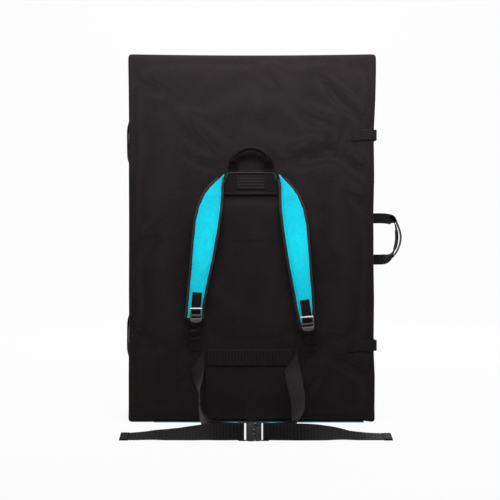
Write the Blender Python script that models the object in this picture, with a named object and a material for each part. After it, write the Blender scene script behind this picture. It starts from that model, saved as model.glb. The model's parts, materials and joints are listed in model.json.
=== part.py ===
"""A folding bouldering crash pad that stands closed, with its carrying harness to the front.

Two foam cushions fold shut like a book about a cloth hinge on the left edge.
X is across the pad, Y runs from the harness to the back, and Z is up.
The origin is on the floor, under the middle of the rear cushion.
"""

import math

import bmesh
import bpy
from mathutils import Vector

MM = 0.001
DEGREE = math.pi / 180
SHARP_ANGLE = 35 * DEGREE

# Fits
FIT_GAP = 0.3 * MM
CUT_OVERRUN = 2 * MM

# The two cushions
PAD_WIDTH = 595 * MM
PAD_HEIGHT = 890 * MM
HALF_DEPTH = 90 * MM
FOLD_GAP = 1 * MM
HINGE_GUTTER = 5 * MM
CORNER_RADIUS = 12 * MM
EDGE_RADIUS = 9 * MM
SIDE_DRAW = 3 * MM
FACE_CROWN = 4 * MM
COVER_WALL = 3.4 * MM
LANDING_CLOTH = 2.5 * MM
FIRM_FOAM = 15 * MM
CORE_FOAM = 53 * MM
LONG_SIDE_STEPS = 12
SHORT_SIDE_STEPS = 8
CORNER_STEPS = 3
TIGHT_CORNER_SHARE = 0.3
OUTER_FACE_SHARES = (0.9, 0.72, 0.5, 0.3, 0.12)
INNER_FACE_SHARES = (0.8, 0.45, 0.12)
MID_Z_SHARE = 0.5

# The cloth hinge, the low handles sewn down the spine and the tab on the back
HINGE_LENGTH = 800 * MM
HINGE_HEM = 24 * MM
HINGE_CLOTH = 1.2 * MM
HINGE_BULGE = 2.2 * MM
HINGE_STEPS = 8
SPINE_HANDLE_Z = (676.5 * MM, 207.5 * MM)
SPINE_HANDLE_LENGTH = 119 * MM
SPINE_HANDLE_BOW = 1.4 * MM
SPINE_HANDLE_INSET = 52 * MM
BACK_TAB_Z = 216 * MM
BACK_TAB_WIDTH = 22 * MM
BACK_TAB_REACH = 12 * MM
BACK_TAB_SEAT = 30 * MM

# Webbing
WEB_THICK = 1.5 * MM
NARROW_WEB = 25 * MM
STRAP_WEB = 23 * MM
BELT_WEB = 38 * MM
BELT_THICK = 1.7 * MM
PANEL_THICK = 2.2 * MM

# The flap under the front cushion
FLAP_THICK = 2 * MM
FLAP_RECESS = 2.6 * MM
FLAP_LEFT = -238 * MM
FLAP_RIGHT = 272 * MM
FLAP_SIDE_ROOM = 11 * MM
FLAP_FLOOR_GAP = 0.15 * MM
FLAP_ROOT_GAP = 0.4 * MM
FLAP_LIP = 1 * MM

# The yoke, where the shoulder straps and the grab handle are sewn on
YOKE_LEFT = -65 * MM
YOKE_RIGHT = 58 * MM
YOKE_BOTTOM = 549 * MM
YOKE_TOP = 609 * MM
YOKE_LEG_X = (-48 * MM, 43 * MM)
YOKE_LEG_MARGIN = 4 * MM
CROSSBAND_TOP_DROP = 10 * MM
CROSSBAND_HEIGHT = 37 * MM
PIPING_RADIUS = 1.6 * MM
YOKE_BINDING = 5 * MM

# The grab handle
GRAB_LEG_X = (-44.5 * MM, 40.5 * MM)
GRAB_LEG_TOP = 640 * MM
GRAB_STAND_OFF = 15 * MM
GRIP_RADIUS = 6 * MM
GRIP_RISE = 25 * MM
GRIP_STEPS = 14
GRIP_ROLL_SHARE = 0.55

# The shoulder straps: left first, then right
STRAP_TIP_X = 68 * MM
STRAP_TOP = 597 * MM
STRAP_LENGTHS = (343 * MM, 371 * MM)
STRAP_SWEEPS = (71 * MM, 66 * MM)
STRAP_WIDTH = 58 * MM
STRAP_FOAM = 9 * MM
STRAP_CLOTH = 1.3 * MM
STRAP_REST = 3 * MM
STRAP_BOW = 13 * MM
BINDING_WIDE = 4.6 * MM
BINDING_DEEP = 7.4 * MM
# how far down, how far out, and the half width there
STRAP_SHARES = (
    (0.0, 0.0, 0.035), (0.035, 0.17, 0.15), (0.08, 0.28, 0.235), (0.135, 0.37, 0.34),
    (0.23, 0.50, 0.46), (0.33, 0.61, 0.50), (0.46, 0.69, 0.465), (0.60, 0.75, 0.41),
    (0.72, 0.83, 0.355), (0.82, 0.90, 0.315), (0.91, 0.965, 0.285), (1.0, 1.0, 0.27),
)
STRAP_ACROSS_SHARES = (-1, -0.6, 0, 0.6, 1)
FOAM_EDGE_SHARE = 0.4
FOAM_TOP_SHARE = 0.3
FOAM_TAPER_SHARE = 0.2
BINDING_TOP_SHARE = 0.03
KEEPER_TOP_SHARE = 0.82
LOCK_BAR_SHARE = 0.93

# The ladder locks and the webbing below them
LOCK_WIDTH = 29 * MM
LOCK_HEIGHT = 34 * MM
LOCK_THICK = 3.4 * MM
LOCK_BAR = 5 * MM
LOCK_KEEPER_SLOT = 6 * MM
LOCK_GRIP_BAR = 6 * MM
LOCK_LOWER_SLOT = 4.5 * MM
LOCK_RAIL = 2.3 * MM
LOCK_TAB_RADIUS = 11 * MM
LOCK_BEVEL = 0.7 * MM
LOCK_TURN_GAP = 1.3 * MM
LOWER_WEB_END_X = (-136 * MM, 148 * MM)
LOWER_WEB_END_Z = 174 * MM
LOWER_WEB_SEAT = 12 * MM
LOWER_WEB_SAG = 7 * MM

# The lumbar panel and its band
LUMBAR_LEFT = -113 * MM
LUMBAR_RIGHT = 99 * MM
LUMBAR_BOTTOM = 11 * MM
LUMBAR_TOP = 176 * MM
BAND_LEFT = -107 * MM
BAND_RIGHT = 97 * MM
PANEL_EDGE_GAP = 0.5 * MM

# The tab strap at the middle of the bottom edge
TAB_X = -1.5 * MM
TAB_PATCH_WIDTH = 29 * MM
TAB_PATCH_BOTTOM = 36 * MM
TAB_PATCH_TOP = 68 * MM
TAB_WEB_END = 0.8 * MM

# The closure straps round the right-hand edge: upper first, then lower
CLOSURE_Z = (694 * MM, 185 * MM)
CLOSURE_PATCH_INSET = (57.5 * MM, 66.5 * MM)
CLOSURE_PATCH_WIDTH = 21 * MM
CLOSURE_PATCH_HEIGHT = 29 * MM
CLOSURE_PATCH_THICK = 1.8 * MM
CLOSURE_TURN_STEPS = 4
CLOSURE_HINGE_SETBACK = 2 * MM
HOOK_WIDTH = 31 * MM
HOOK_LENGTH = 26 * MM
HOOK_THICK = 2.4 * MM
HOOK_RAIL = 2.6 * MM
HOOK_BAR = 4 * MM
HOOK_SLOT = 4.4 * MM
HOOK_MOUTH = 3.8 * MM
HOOK_BEVEL = 0.5 * MM
HOOK_CORNER = 3 * MM
HOOK_SETBACK = 4 * MM
KEEPER_LOOP_LENGTH = 34 * MM

# The carrying handle on the right-hand wall: out from the wall and up, with the twist
HANDLE_MID_Z = 443 * MM
HANDLE_SPAN = 101 * MM
HANDLE_REACH = 52 * MM
HANDLE_ROOT_GAP = 0.9 * MM
HANDLE_PATH_SHARES = (
    (0.0, 0.5, 0.0), (0.22, 0.5, 0.0), (0.46, 0.5, 0.05), (0.72, 0.47, 0.35), (0.86, 0.40, 0.7),
    (0.95, 0.26, 1.0), (1.0, 0.10, 1.0), (0.98, -0.07, 1.0), (0.90, -0.23, 1.0),
    (0.77, -0.37, 0.7), (0.58, -0.46, 0.35), (0.35, -0.5, 0.05), (0.16, -0.5, 0.0), (0.0, -0.5, 0.0),
)
HANDLE_SMOOTH_STEPS = 3
GRIP_SLEEVE_WALL = 1.6 * MM
GRIP_SLEEVE_SHARES = (0.42, 0.62)
LOOSE_LAYER_SHARES = (0.62, 0.72)
LOOSE_LAYER_BULGE = 5 * MM

# The hip belt, which stands on the floor in front of the pad
BELT_AHEAD = 220 * MM
BUCKLE_X = 4.4 * MM
BELT_HINGE_Z = 150 * MM
TAIL_ENDS = (-270 * MM, 288 * MM)
TAIL_HEM_LENGTH = 19 * MM
TAIL_HEM_THICK = 4.2 * MM
TAIL_FLOOR_GAP = 0.4 * MM
HEM_STEP_SHARE = 0.05
TAIL_LEANS = (76 * DEGREE, 78 * DEGREE)
TAIL_LEAN_SHARES = (
    ((0.0, 0.0), (0.13, 0.14), (0.27, 0.36), (0.52, 0.70), (0.86, 0.95), (1.0, 1.0)),
    ((0.0, 0.0), (0.20, 0.08), (0.41, 0.38), (0.69, 0.87), (0.885, 0.98), (1.0, 1.0)),
)
TAIL_STEPS = 14
# along X from the panel's edge to the buckle, ahead of the face, up, then half the width
WING_SHARES = (
    (
        (-0.189, 0.001, 1.0, 0.76, 0.0, 1.05), (-0.178, 0.03, 0.83, 0.8, -0.25, 0.45),
        (-0.151, 0.09, 0.65, 0.56, -0.74, 0.37), (-0.112, 0.235, 0.455, 0.08, -0.85, 0.5),
        (-0.074, 0.465, 0.19, 0.0, -0.5, 0.87), (0.155, 0.79, 0.03, 0.0, -0.2, 0.98),
        (0.59, 0.94, 0.0, 0.0, 0.0, 1.0), (0.82, 0.98, 0.0, 0.0, 0.0, 1.0), (1.0, 0.984, 0.0, 0.0, 0.0, 1.0),
    ),
    (
        (0.085, 0.022, 0.98, 0.76, 0.0, 1.09), (0.003, 0.086, 0.767, 0.98, -0.1, 0.15),
        (-0.055, 0.234, 0.576, 0.95, -0.25, 0.15), (-0.11, 0.441, 0.396, 0.82, -0.5, 0.3),
        (-0.07, 0.672, 0.18, 0.65, -0.5, 0.57), (0.07, 0.857, 0.05, 0.3, -0.3, 0.9),
        (0.457, 0.949, 0.0, 0.0, 0.0, 1.0), (0.8, 0.982, 0.0, 0.0, 0.0, 1.0), (1.0, 0.984, 0.0, 0.0, 0.0, 1.0),
    ),
)
WING_SMOOTH_STEPS = 2

# The side-release buckle, measured from its middle
BUCKLE_HEIGHT = 43 * MM
BUCKLE_THICK = 12 * MM
BUCKLE_WALL = 2 * MM
BUCKLE_END = 33.5 * MM
BUCKLE_FRAME_THICK = 5 * MM
BUCKLE_SLOT_LENGTH = 39 * MM
BUCKLE_END_BAR = 3.2 * MM
BUCKLE_WEB_SLOT = 2.6 * MM
BUCKLE_GRIP_BAR = 6 * MM
BUCKLE_CORNER = 4 * MM
BUCKLE_BEVEL = 0.6 * MM
MOUTH_X = 2 * MM
MOUTH_SCALLOP = 7 * MM
STEM_LEFT = 8 * MM
STEM_RIGHT = 15.3 * MM
STEM_THICK = 8 * MM
TONGUE_HEIGHT = 7 * MM
TONGUE_LEFT = -11 * MM
WINDOW_LEFT = -11 * MM
WINDOW_RIGHT = -0.5 * MM
PRONG_ROOT_LOW = 9.5 * MM
PRONG_ROOT_HIGH = 14.5 * MM
PRONG_TIP_X = -12.5 * MM
PRONG_BUTTON_LEFT = -9.5 * MM
PRONG_BUTTON_RIGHT = -2 * MM
PRONG_THICK = 6.4 * MM

FAR_LANDING_Y = -HALF_DEPTH / 2
NEAR_LANDING_Y = FAR_LANDING_Y - FOLD_GAP
FOLD_Y = (FAR_LANDING_Y + NEAR_LANDING_Y) / 2
FACE_Y = NEAR_LANDING_Y - HALF_DEPTH
HINGE_X = -PAD_WIDTH / 2 - HINGE_GUTTER
WEB_LIFT = PANEL_THICK + 2 * FIT_GAP
GRAB_BASE = YOKE_TOP
GRAB_LIFT = 2 * PIPING_RADIUS + 2 * FIT_GAP + WEB_THICK / 2
BELT_Y = FACE_Y - BELT_AHEAD

FINISHES = {
    "black_cover_cloth": ("#3A3436", 0.85, 0.0),
    "teal_cloth": ("#1C8FA0", 0.80, 0.0),
    "cyan_strap_cloth": ("#22D0DF", 0.75, 0.0),
    "black_webbing": ("#1C191A", 0.70, 0.0),
    "grey_webbing": ("#332C2D", 0.70, 0.0),
    "black_mesh": ("#262223", 0.90, 0.0),
    "grey_binding": ("#4A4344", 0.75, 0.0),
    "closed_cell_foam": ("#4C5A60", 0.95, 0.0),
    "open_cell_foam": ("#D8CFA8", 0.95, 0.0),
    "black_plastic": ("#1B191A", 0.45, 0.0),
    "grey_plastic": ("#5A5758", 0.45, 0.0),
    "dark_aluminium": ("#3C3C40", 0.35, 1.0),
}


def linear(channel):
    """One sRGB channel, 0 to 1, as a linear value."""
    if channel <= 0.04045:
        return channel / 12.92
    return ((channel + 0.055) / 1.055) ** 2.4


def finish(name):
    """The named finish as a Principled material, made once."""
    found = bpy.data.materials.get(name)
    if found:
        return found
    colour, roughness, metallic = FINISHES[name]
    material = bpy.data.materials.new(name)
    material.use_nodes = True
    shader = material.node_tree.nodes["Principled BSDF"]
    channels = [linear(int(colour[i:i + 2], 16) / 255) for i in (1, 3, 5)]
    shader.inputs["Base Color"].default_value = (*channels, 1)
    shader.inputs["Roughness"].default_value = roughness
    shader.inputs["Metallic"].default_value = metallic
    return material


def clear_scene():
    for old in list(bpy.data.objects):
        bpy.data.objects.remove(old, do_unlink=True)


def pivot(name, place, parent=None):
    """An empty on a joint's axis, which carries the pieces that turn about it."""
    empty = bpy.data.objects.new(name, None)
    bpy.context.collection.objects.link(empty)
    empty["place"] = place
    empty.parent = parent
    empty.location = place - Vector(parent["place"]) if parent else place
    return empty


def add(name, finish_name, shape, body=None):
    """One sub-part from a mesh in world coordinates, carried by its body's pivot."""
    if body:
        bmesh.ops.translate(shape, verts=shape.verts, vec=-Vector(body["place"]))
    mesh = bpy.data.meshes.new(name)
    shape.to_mesh(mesh)
    shape.free()
    mesh.shade_smooth()
    mesh.set_sharp_from_angle(angle=SHARP_ANGLE)
    mesh.materials.append(finish(finish_name))
    piece = bpy.data.objects.new(name, mesh)
    bpy.context.collection.objects.link(piece)
    piece.parent = body
    return piece


def cut(piece, shape, name):
    """Takes one shape out of a piece."""
    cutter = add(name, "black_plastic", shape, piece.parent)
    cutter.hide_render = True
    cutter.display_type = "WIRE"
    boolean = piece.modifiers.new(name, "BOOLEAN")
    boolean.operation = "DIFFERENCE"
    boolean.solver = "EXACT"
    boolean.object = cutter


def join(piece, shape, name):
    """Adds one shape to a piece."""
    cut(piece, shape, name)
    piece.modifiers[name].operation = "UNION"


def soften(piece, width, segments=1):
    """Rounds a moulded piece's sharp edges."""
    bevel = piece.modifiers.new("rounding", "BEVEL")
    bevel.width = width
    bevel.segments = segments
    bevel.limit_method = "ANGLE"
    bevel.angle_limit = 40 * DEGREE


def loft(rings, twisted=False):
    """A closed body through rings of equally many points, with flat ends.

    On a twisted body the two broad sides are split along parallel diagonals, which keeps them apart.
    """
    shape = bmesh.new()
    rows = [[shape.verts.new(point) for point in ring] for ring in rings]
    shape.faces.new(rows[0])
    shape.faces.new(rows[-1])
    for low, high in zip(rows, rows[1:]):
        for i in range(len(low)):
            j = (i + 1) % len(low)
            if not twisted:
                shape.faces.new((low[i], low[j], high[j], high[i]))
            elif i < len(low) / 2:
                shape.faces.new((low[i], low[j], high[j]))
                shape.faces.new((low[i], high[j], high[i]))
            else:
                shape.faces.new((low[i], low[j], high[i]))
                shape.faces.new((low[j], high[j], high[i]))
    bmesh.ops.recalc_face_normals(shape, faces=shape.faces[:])
    return shape


def smooth(rows, steps):
    """A smooth run through rows of numbers, with this many steps between two rows."""
    out = []
    last = len(rows) - 1
    for i in range(last):
        a, b, c, d = (rows[max(0, min(last, i + k))] for k in (-1, 0, 1, 2))
        for step in range(steps):
            t = step / steps
            out.append(tuple(
                (2 * q + (r - p) * t + (2 * p - 5 * q + 4 * r - s) * t * t
                 + (3 * q - p - 3 * r + s) * t ** 3) / 2
                for p, q, r, s in zip(a, b, c, d)
            ))
    out.append(tuple(rows[-1]))
    return out


def between(table, at):
    """The value of a table of pairs at one place, in straight steps."""
    for (low, first), (high, second) in zip(table, table[1:]):
        if at <= high:
            return first + (second - first) * (at - low) / (high - low)
    return table[-1][1]


def ribbon(path, sides, width, thickness, mitred=False):
    """A flat strap along a path, whose width runs towards sides, or just so if mitred."""
    rings = []
    last = len(path) - 1
    if not isinstance(thickness, list):
        thickness = [thickness] * len(path)
    for i, (point, side) in enumerate(zip(path, sides)):
        along = (path[min(i + 1, last)] - path[max(i - 1, 0)]).normalized()
        across = side * width / 2
        if not mitred:
            across = (side - along * side.dot(along)).normalized() * width / 2
        depth = along.cross(across).normalized() * thickness[i] / 2
        rings.append([point - across - depth, point + across - depth,
                      point + across + depth, point - across + depth])
    return loft(rings, twisted=True)


def tube(path, radius, sides=8):
    """A round cord along a path in a plane that faces the front."""
    rings = []
    last = len(path) - 1
    for i, point in enumerate(path):
        along = (path[min(i + 1, last)] - path[max(i - 1, 0)]).normalized()
        front = Vector((0, -1, 0))
        beside = along.cross(front).normalized()
        rings.append([
            point + (beside * math.cos(turn) + front * math.sin(turn)) * radius
            for turn in (k * 2 * math.pi / sides for k in range(sides))
        ])
    return loft(rings)


def rolled_strap(stations, sides=8):
    """An oval strap in a plane that faces the front: its points, each with width and depth."""
    rings = []
    last = len(stations) - 1
    for i, (point, (width, depth)) in enumerate(stations):
        along = (stations[min(i + 1, last)][0] - stations[max(i - 1, 0)][0]).normalized()
        across = along.cross(Vector((0, -1, 0))).normalized() * width / 2
        front = across.cross(along).normalized() * depth / 2
        rings.append([point + across * math.cos(turn) + front * math.sin(turn)
                      for turn in (k * 2 * math.pi / sides for k in range(sides))])
    return loft(rings)


def slab(low, high):
    """A plain block between two corners."""
    shape = bmesh.new()
    bmesh.ops.create_cube(shape, size=1)
    bmesh.ops.scale(shape, verts=shape.verts, vec=high - low)
    bmesh.ops.translate(shape, verts=shape.verts, vec=(low + high) / 2)
    return shape


def plate(outline, low_y, high_y):
    """An outline in X and Z, extruded from front to back."""
    return loft([[Vector((x, y, z)) for x, z in outline] for y in (low_y, high_y)])


def rounded(left, right, low, high, radii, steps=3):
    """A rectangle with rounded corners: bottom right, top right, top left, bottom left."""
    places = ((right, low, -1, 1, -90), (right, high, -1, -1, 0),
              (left, high, 1, -1, 90), (left, low, 1, 1, 180))
    points = []
    for (x, z, in_x, in_z, start), radius in zip(places, radii):
        for step in range(steps + 1):
            turn = (start + 90 * step / steps) * DEGREE
            points.append((x + (in_x + math.cos(turn)) * radius, z + (in_z + math.sin(turn)) * radius))
    return points


def crown(x, z):
    """How far a cushion's face stands out beyond its edges."""
    across = x / (PAD_WIDTH / 2)
    up = z / (PAD_HEIGHT / 2) - 1
    return FACE_CROWN * (1 - across ** 2) * (1 - up ** 2)


def wall_x(z):
    """Half the pad's width at one height, with its sides drawn in between the corners."""
    up = z / (PAD_HEIGHT / 2) - 1
    return PAD_WIDTH / 2 - SIDE_DRAW * (1 - up ** 2)


def on_face(x, z, lift):
    """A point in front of the harness face."""
    return Vector((x, FACE_Y - crown(x, z) - lift, z))


def pad_outline(inset):
    """The cushion's outline seen from the front, drawn in at the sides and the top."""
    half = PAD_WIDTH / 2 - inset
    low = inset
    high = PAD_HEIGHT - inset
    radius = max(CORNER_RADIUS - inset, CORNER_RADIUS * TIGHT_CORNER_SHARE)
    corners = rounded(-half, half, low, high, (radius,) * 4, CORNER_STEPS)
    points = []
    count = CORNER_STEPS + 1
    for corner in range(4):
        arc = corners[corner * count:corner * count + count]
        following = corners[(corner + 1) * count % len(corners)]
        steps = LONG_SIDE_STEPS if corner % 2 == 0 else SHORT_SIDE_STEPS
        points += arc
        for step in range(1, steps):
            share = step / steps
            points.append(tuple(p + (q - p) * share for p, q in zip(arc[-1], following)))
    drawn = []
    for x, z in points:
        across = x / (PAD_WIDTH / 2)
        drawn.append((x * wall_x(z) / (PAD_WIDTH / 2),
                      z - SIDE_DRAW * (1 - across ** 2) * z / PAD_HEIGHT))
    return drawn


def pad_ring(landing_y, outward, inset, depth, size=1, crowned=False):
    """One ring of a cushion at a depth from its landing face."""
    ring = []
    middle = PAD_HEIGHT * MID_Z_SHARE
    for x, z in pad_outline(inset):
        x = x * size
        z = middle + (z - middle) * size
        ring.append(Vector((x, landing_y + outward * (depth + crowned * crown(x, z)), z)))
    return ring


def crowned_face(landing_y, outward, inset, depth, radius, shares, turns):
    """Rings from a cushion's wall round its edge and in over its crowned face."""
    rings = []
    for turn in turns:
        turned = turn * DEGREE
        rings.append(pad_ring(landing_y, outward, inset + radius * (1 - math.cos(turned)),
                              depth - radius + radius * math.sin(turned), crowned=True))
    for share in shares:
        rings.append(pad_ring(landing_y, outward, inset + radius, depth, share, True))
    return rings


def cushion_cover(name, landing_y, outward, body=None):
    """The cover: a crowned face and four walls, open towards the landing side."""
    inner_radius = EDGE_RADIUS - COVER_WALL
    inner = crowned_face(landing_y, outward, COVER_WALL, HALF_DEPTH - COVER_WALL, inner_radius,
                         INNER_FACE_SHARES, (0, 45, 90))
    outer = crowned_face(landing_y, outward, 0, HALF_DEPTH, EDGE_RADIUS, OUTER_FACE_SHARES, (0, 30, 60, 90))
    rings = list(reversed(inner))
    rings.append(pad_ring(landing_y, outward, COVER_WALL, 0))
    rings.append(pad_ring(landing_y, outward, 0, 0))
    rings += outer
    return add(name, "black_cover_cloth", loft(rings), body)


def cushion_filling(prefix, landing_y, outward, body=None):
    """The landing cloth and the three layers of foam inside one cover."""
    inset = COVER_WALL + FIT_GAP
    cloth = [pad_ring(landing_y, outward, inset, depth) for depth in (0, LANDING_CLOTH)]
    add(prefix + "_landing_cloth", "teal_cloth", loft(cloth), body)
    start = LANDING_CLOTH + FIT_GAP
    firm = [pad_ring(landing_y, outward, inset, depth) for depth in (start, start + FIRM_FOAM)]
    add(prefix + "_landing_foam", "closed_cell_foam", loft(firm), body)
    start += FIRM_FOAM + FIT_GAP
    core = [pad_ring(landing_y, outward, inset, depth) for depth in (start, start + CORE_FOAM)]
    add(prefix + "_core_foam", "open_cell_foam", loft(core), body)
    start += CORE_FOAM + FIT_GAP
    face = crowned_face(landing_y, outward, inset, HALF_DEPTH - inset, EDGE_RADIUS - inset,
                        INNER_FACE_SHARES, (0, 45, 90))
    base = [pad_ring(landing_y, outward, inset, start)] + face
    add(prefix + "_base_foam", "closed_cell_foam", loft(base), body)


def front_cushion():
    """The cushion that carries the harness, with the shallow recess over the flap."""
    cover = cushion_cover("harness_half_cover", NEAR_LANDING_Y, -1)
    low = Vector((FLAP_LEFT - FIT_GAP, FACE_Y - CUT_OVERRUN, -CUT_OVERRUN))
    high = Vector((FLAP_RIGHT + FLAP_SIDE_ROOM, NEAR_LANDING_Y + CUT_OVERRUN / 4, FLAP_RECESS))
    cut(cover, slab(low, high), "flap_recess")
    cushion_filling("harness_half", NEAR_LANDING_Y, -1)


def rear_cushion(body):
    cushion_cover("far_half_cover", FAR_LANDING_Y, 1, body)
    cushion_filling("far_half", FAR_LANDING_Y, 1, body)


def hinge_cloth():
    """The cloth down the spine that joins the two covers."""
    rings = []
    for step in range(HINGE_STEPS + 1):
        z = (PAD_HEIGHT - HINGE_LENGTH) / 2 + HINGE_LENGTH * step / HINGE_STEPS
        seat = -wall_x(z) - FIT_GAP
        inner = [(seat, NEAR_LANDING_Y - HINGE_HEM), (seat, NEAR_LANDING_Y - FOLD_GAP),
                 (seat - HINGE_BULGE, FOLD_Y), (seat, FAR_LANDING_Y + FOLD_GAP),
                 (seat, FAR_LANDING_Y + HINGE_HEM)]
        outer = [(x - HINGE_CLOTH, y) for x, y in reversed(inner)]
        rings.append([Vector((x, y, z)) for x, y in inner + outer])
    add("spine_hinge_cloth", "black_cover_cloth", loft(rings))


def spine_handles():
    """Two low webbing handles sewn down the spine, bowed a little off the wall."""
    for name, middle in zip(("upper", "lower"), SPINE_HANDLE_Z):
        path = []
        for step in range(7):
            share = step / 6
            z = middle + SPINE_HANDLE_LENGTH * (share - MID_Z_SHARE)
            bow = SPINE_HANDLE_BOW * math.sin(math.pi * share)
            path.append(Vector((-wall_x(z) - FIT_GAP - WEB_THICK / 2 - bow,
                                NEAR_LANDING_Y - SPINE_HANDLE_INSET, z)))
        sides = [Vector((0, 1, 0))] * len(path)
        add(name + "_spine_handle", "black_webbing", ribbon(path, sides, NARROW_WEB, WEB_THICK))


def back_tab(body):
    """A short tab sewn flat on the back, which sticks out past the spine."""
    edge = -wall_x(BACK_TAB_Z)
    y = FAR_LANDING_Y + HALF_DEPTH + crown(edge + BACK_TAB_SEAT, BACK_TAB_Z) + FIT_GAP + WEB_THICK / 2
    path = [Vector((x, y, BACK_TAB_Z)) for x in (edge + BACK_TAB_SEAT, edge + EDGE_RADIUS, edge - BACK_TAB_REACH)]
    add("back_tab", "black_webbing", ribbon(path, [Vector((0, 0, 1))] * 3, BACK_TAB_WIDTH, WEB_THICK), body)


def bottom_flap(body):
    """The flap that closes the bottom, sewn to the rear cushion at the fold."""
    low = Vector((FLAP_LEFT, FACE_Y - FLAP_LIP, FLAP_FLOOR_GAP))
    high = Vector((FLAP_RIGHT, NEAR_LANDING_Y + FOLD_GAP - FLAP_ROOT_GAP, FLAP_FLOOR_GAP + FLAP_THICK))
    add("bottom_flap", "teal_cloth", slab(low, high), body)


def face_panel(rows, lift, thickness, columns=4):
    """A sewn panel that follows the face: rows of height, left edge and right edge."""
    rings = []
    for z, left, right in rows:
        places = [left + (right - left) * i / columns for i in range(columns + 1)]
        back = [on_face(x, z, lift) for x in places]
        front = [on_face(x, z, lift + thickness) for x in reversed(places)]
        rings.append(back + front)
    return loft(rings)


def even_rows(low, high, left, right, count):
    """Rows of one width, evenly spaced in height."""
    return [(low + (high - low) * i / count, left, right) for i in range(count + 1)]


def yoke():
    """The sewn patch between the straps, with two webbing legs and a ribbed crossband."""
    rows = even_rows(YOKE_BOTTOM, YOKE_TOP, YOKE_LEFT, YOKE_RIGHT, 2)
    add("yoke_panel", "black_cover_cloth", face_panel(rows, FIT_GAP, PANEL_THICK))
    for name, x in zip(("left", "right"), YOKE_LEG_X):
        low = YOKE_BOTTOM + YOKE_BINDING + FIT_GAP
        high = YOKE_TOP - YOKE_LEG_MARGIN
        rows = even_rows(low, high, x - STRAP_WEB / 2, x + STRAP_WEB / 2, 2)
        add(name + "_yoke_webbing", "black_webbing", face_panel(rows, WEB_LIFT, WEB_THICK, 2))
    left = YOKE_LEG_X[0] + STRAP_WEB / 2 + FIT_GAP
    right = YOKE_LEG_X[1] - STRAP_WEB / 2 - FIT_GAP
    high = YOKE_TOP - CROSSBAND_TOP_DROP
    rows = even_rows(high - CROSSBAND_HEIGHT, high, left, right, 2)
    add("yoke_crossband", "black_webbing", face_panel(rows, WEB_LIFT, WEB_THICK))
    rows = even_rows(YOKE_BOTTOM, YOKE_BOTTOM + YOKE_BINDING, YOKE_LEFT, YOKE_RIGHT, 1)
    add("yoke_binding", "black_webbing", face_panel(rows, WEB_LIFT, WEB_THICK))
    lift = FIT_GAP + PIPING_RADIUS
    z = YOKE_TOP + FIT_GAP + PIPING_RADIUS
    path = [on_face(YOKE_LEFT + (YOKE_RIGHT - YOKE_LEFT) * i / 4, z, lift) for i in range(5)]
    add("yoke_piping", "grey_binding", tube(path, PIPING_RADIUS))


def grab_handle(body):
    """The webbing loop over the yoke, flat at its feet and rolled round at the grip."""
    left, right = GRAB_LEG_X
    middle = (left + right) / 2
    reach = (right - left) / 2
    leg = [(GRAB_BASE, GRAB_LIFT), ((GRAB_BASE + GRAB_LEG_TOP) / 2, (GRAB_LIFT + GRAB_STAND_OFF) / 2)]
    flat = (STRAP_WEB, WEB_THICK)
    rolled = (GRIP_RADIUS * 2, GRIP_RADIUS * 2)
    stations = [(on_face(left, z, lift), flat) for z, lift in leg]
    for step in range(GRIP_STEPS + 1):
        turn = math.pi * step / GRIP_STEPS
        point = on_face(middle - reach * math.cos(turn), GRAB_LEG_TOP + GRIP_RISE * math.sin(turn), GRAB_STAND_OFF)
        roll = min(1, math.sin(turn) / GRIP_ROLL_SHARE)
        stations.append((point, tuple(a + (b - a) * roll for a, b in zip(flat, rolled))))
    stations += [(on_face(right, z, lift), flat) for z, lift in reversed(leg)]
    add("grab_handle", "black_webbing", rolled_strap(stations), body)


def strap_place(side, share):
    """A shoulder strap's middle, half width and lift off the face, this far down it."""
    which = 0 if side < 0 else 1
    out = between([(row[0], row[1]) for row in STRAP_SHARES], share)
    wide = between([(row[0], row[2]) for row in STRAP_SHARES], share)
    x = side * (STRAP_TIP_X + STRAP_SWEEPS[which] * out)
    z = STRAP_TOP - STRAP_LENGTHS[which] * share
    lift = STRAP_REST + STRAP_BOW * math.sin(math.pi * share)
    return x, z, STRAP_WIDTH * wide, lift


def foam_thickness(across, share):
    """The strap's foam, thick in the middle and thin at the edges and the sewn top."""
    taper = min(1, FOAM_TOP_SHARE + share / FOAM_TAPER_SHARE)
    return STRAP_FOAM * taper * (FOAM_EDGE_SHARE + (1 - FOAM_EDGE_SHARE) * (1 - across ** 2))


def strap_layer(side, back, front):
    """One layer of a padded strap between two depths, each given across the strap."""
    rings = []
    for share, _, _ in STRAP_SHARES:
        x, z, wide, lift = strap_place(side, share)
        low = [on_face(x + wide * k, z, lift + back(k, share)) for k in STRAP_ACROSS_SHARES]
        high = [on_face(x + wide * k, z, lift + front(k, share)) for k in reversed(STRAP_ACROSS_SHARES)]
        rings.append(low + high)
    return loft(rings)


def strap_edge(side):
    """The binding's path: down the outer edge, across the end and up the inner edge."""
    shares = [row[0] for row in STRAP_SHARES[1:]]
    shares = [BINDING_TOP_SHARE] + shares
    outline = []
    for way, order in ((side, shares), (-side, list(reversed(shares)))):
        for share in order:
            x, z, wide, lift = strap_place(side, share)
            outline.append((x + way * wide, z, lift))
    path = []
    last = len(outline) - 1
    away = FIT_GAP + BINDING_WIDE / 2
    for i, (x, z, lift) in enumerate(outline):
        here = Vector((x, z))
        runs = [Vector(outline[k + 1][:2]) - Vector(outline[k][:2])
                for k in (max(i - 1, 0), min(i, last - 1))]
        outs = [Vector((-run[1], run[0])).normalized() * side for run in runs]
        here += (outs[0] + outs[1]) * away / (1 + outs[0].dot(outs[1]))
        path.append(on_face(here[0], here[1], lift + BINDING_DEEP / 2))
    return path


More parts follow.
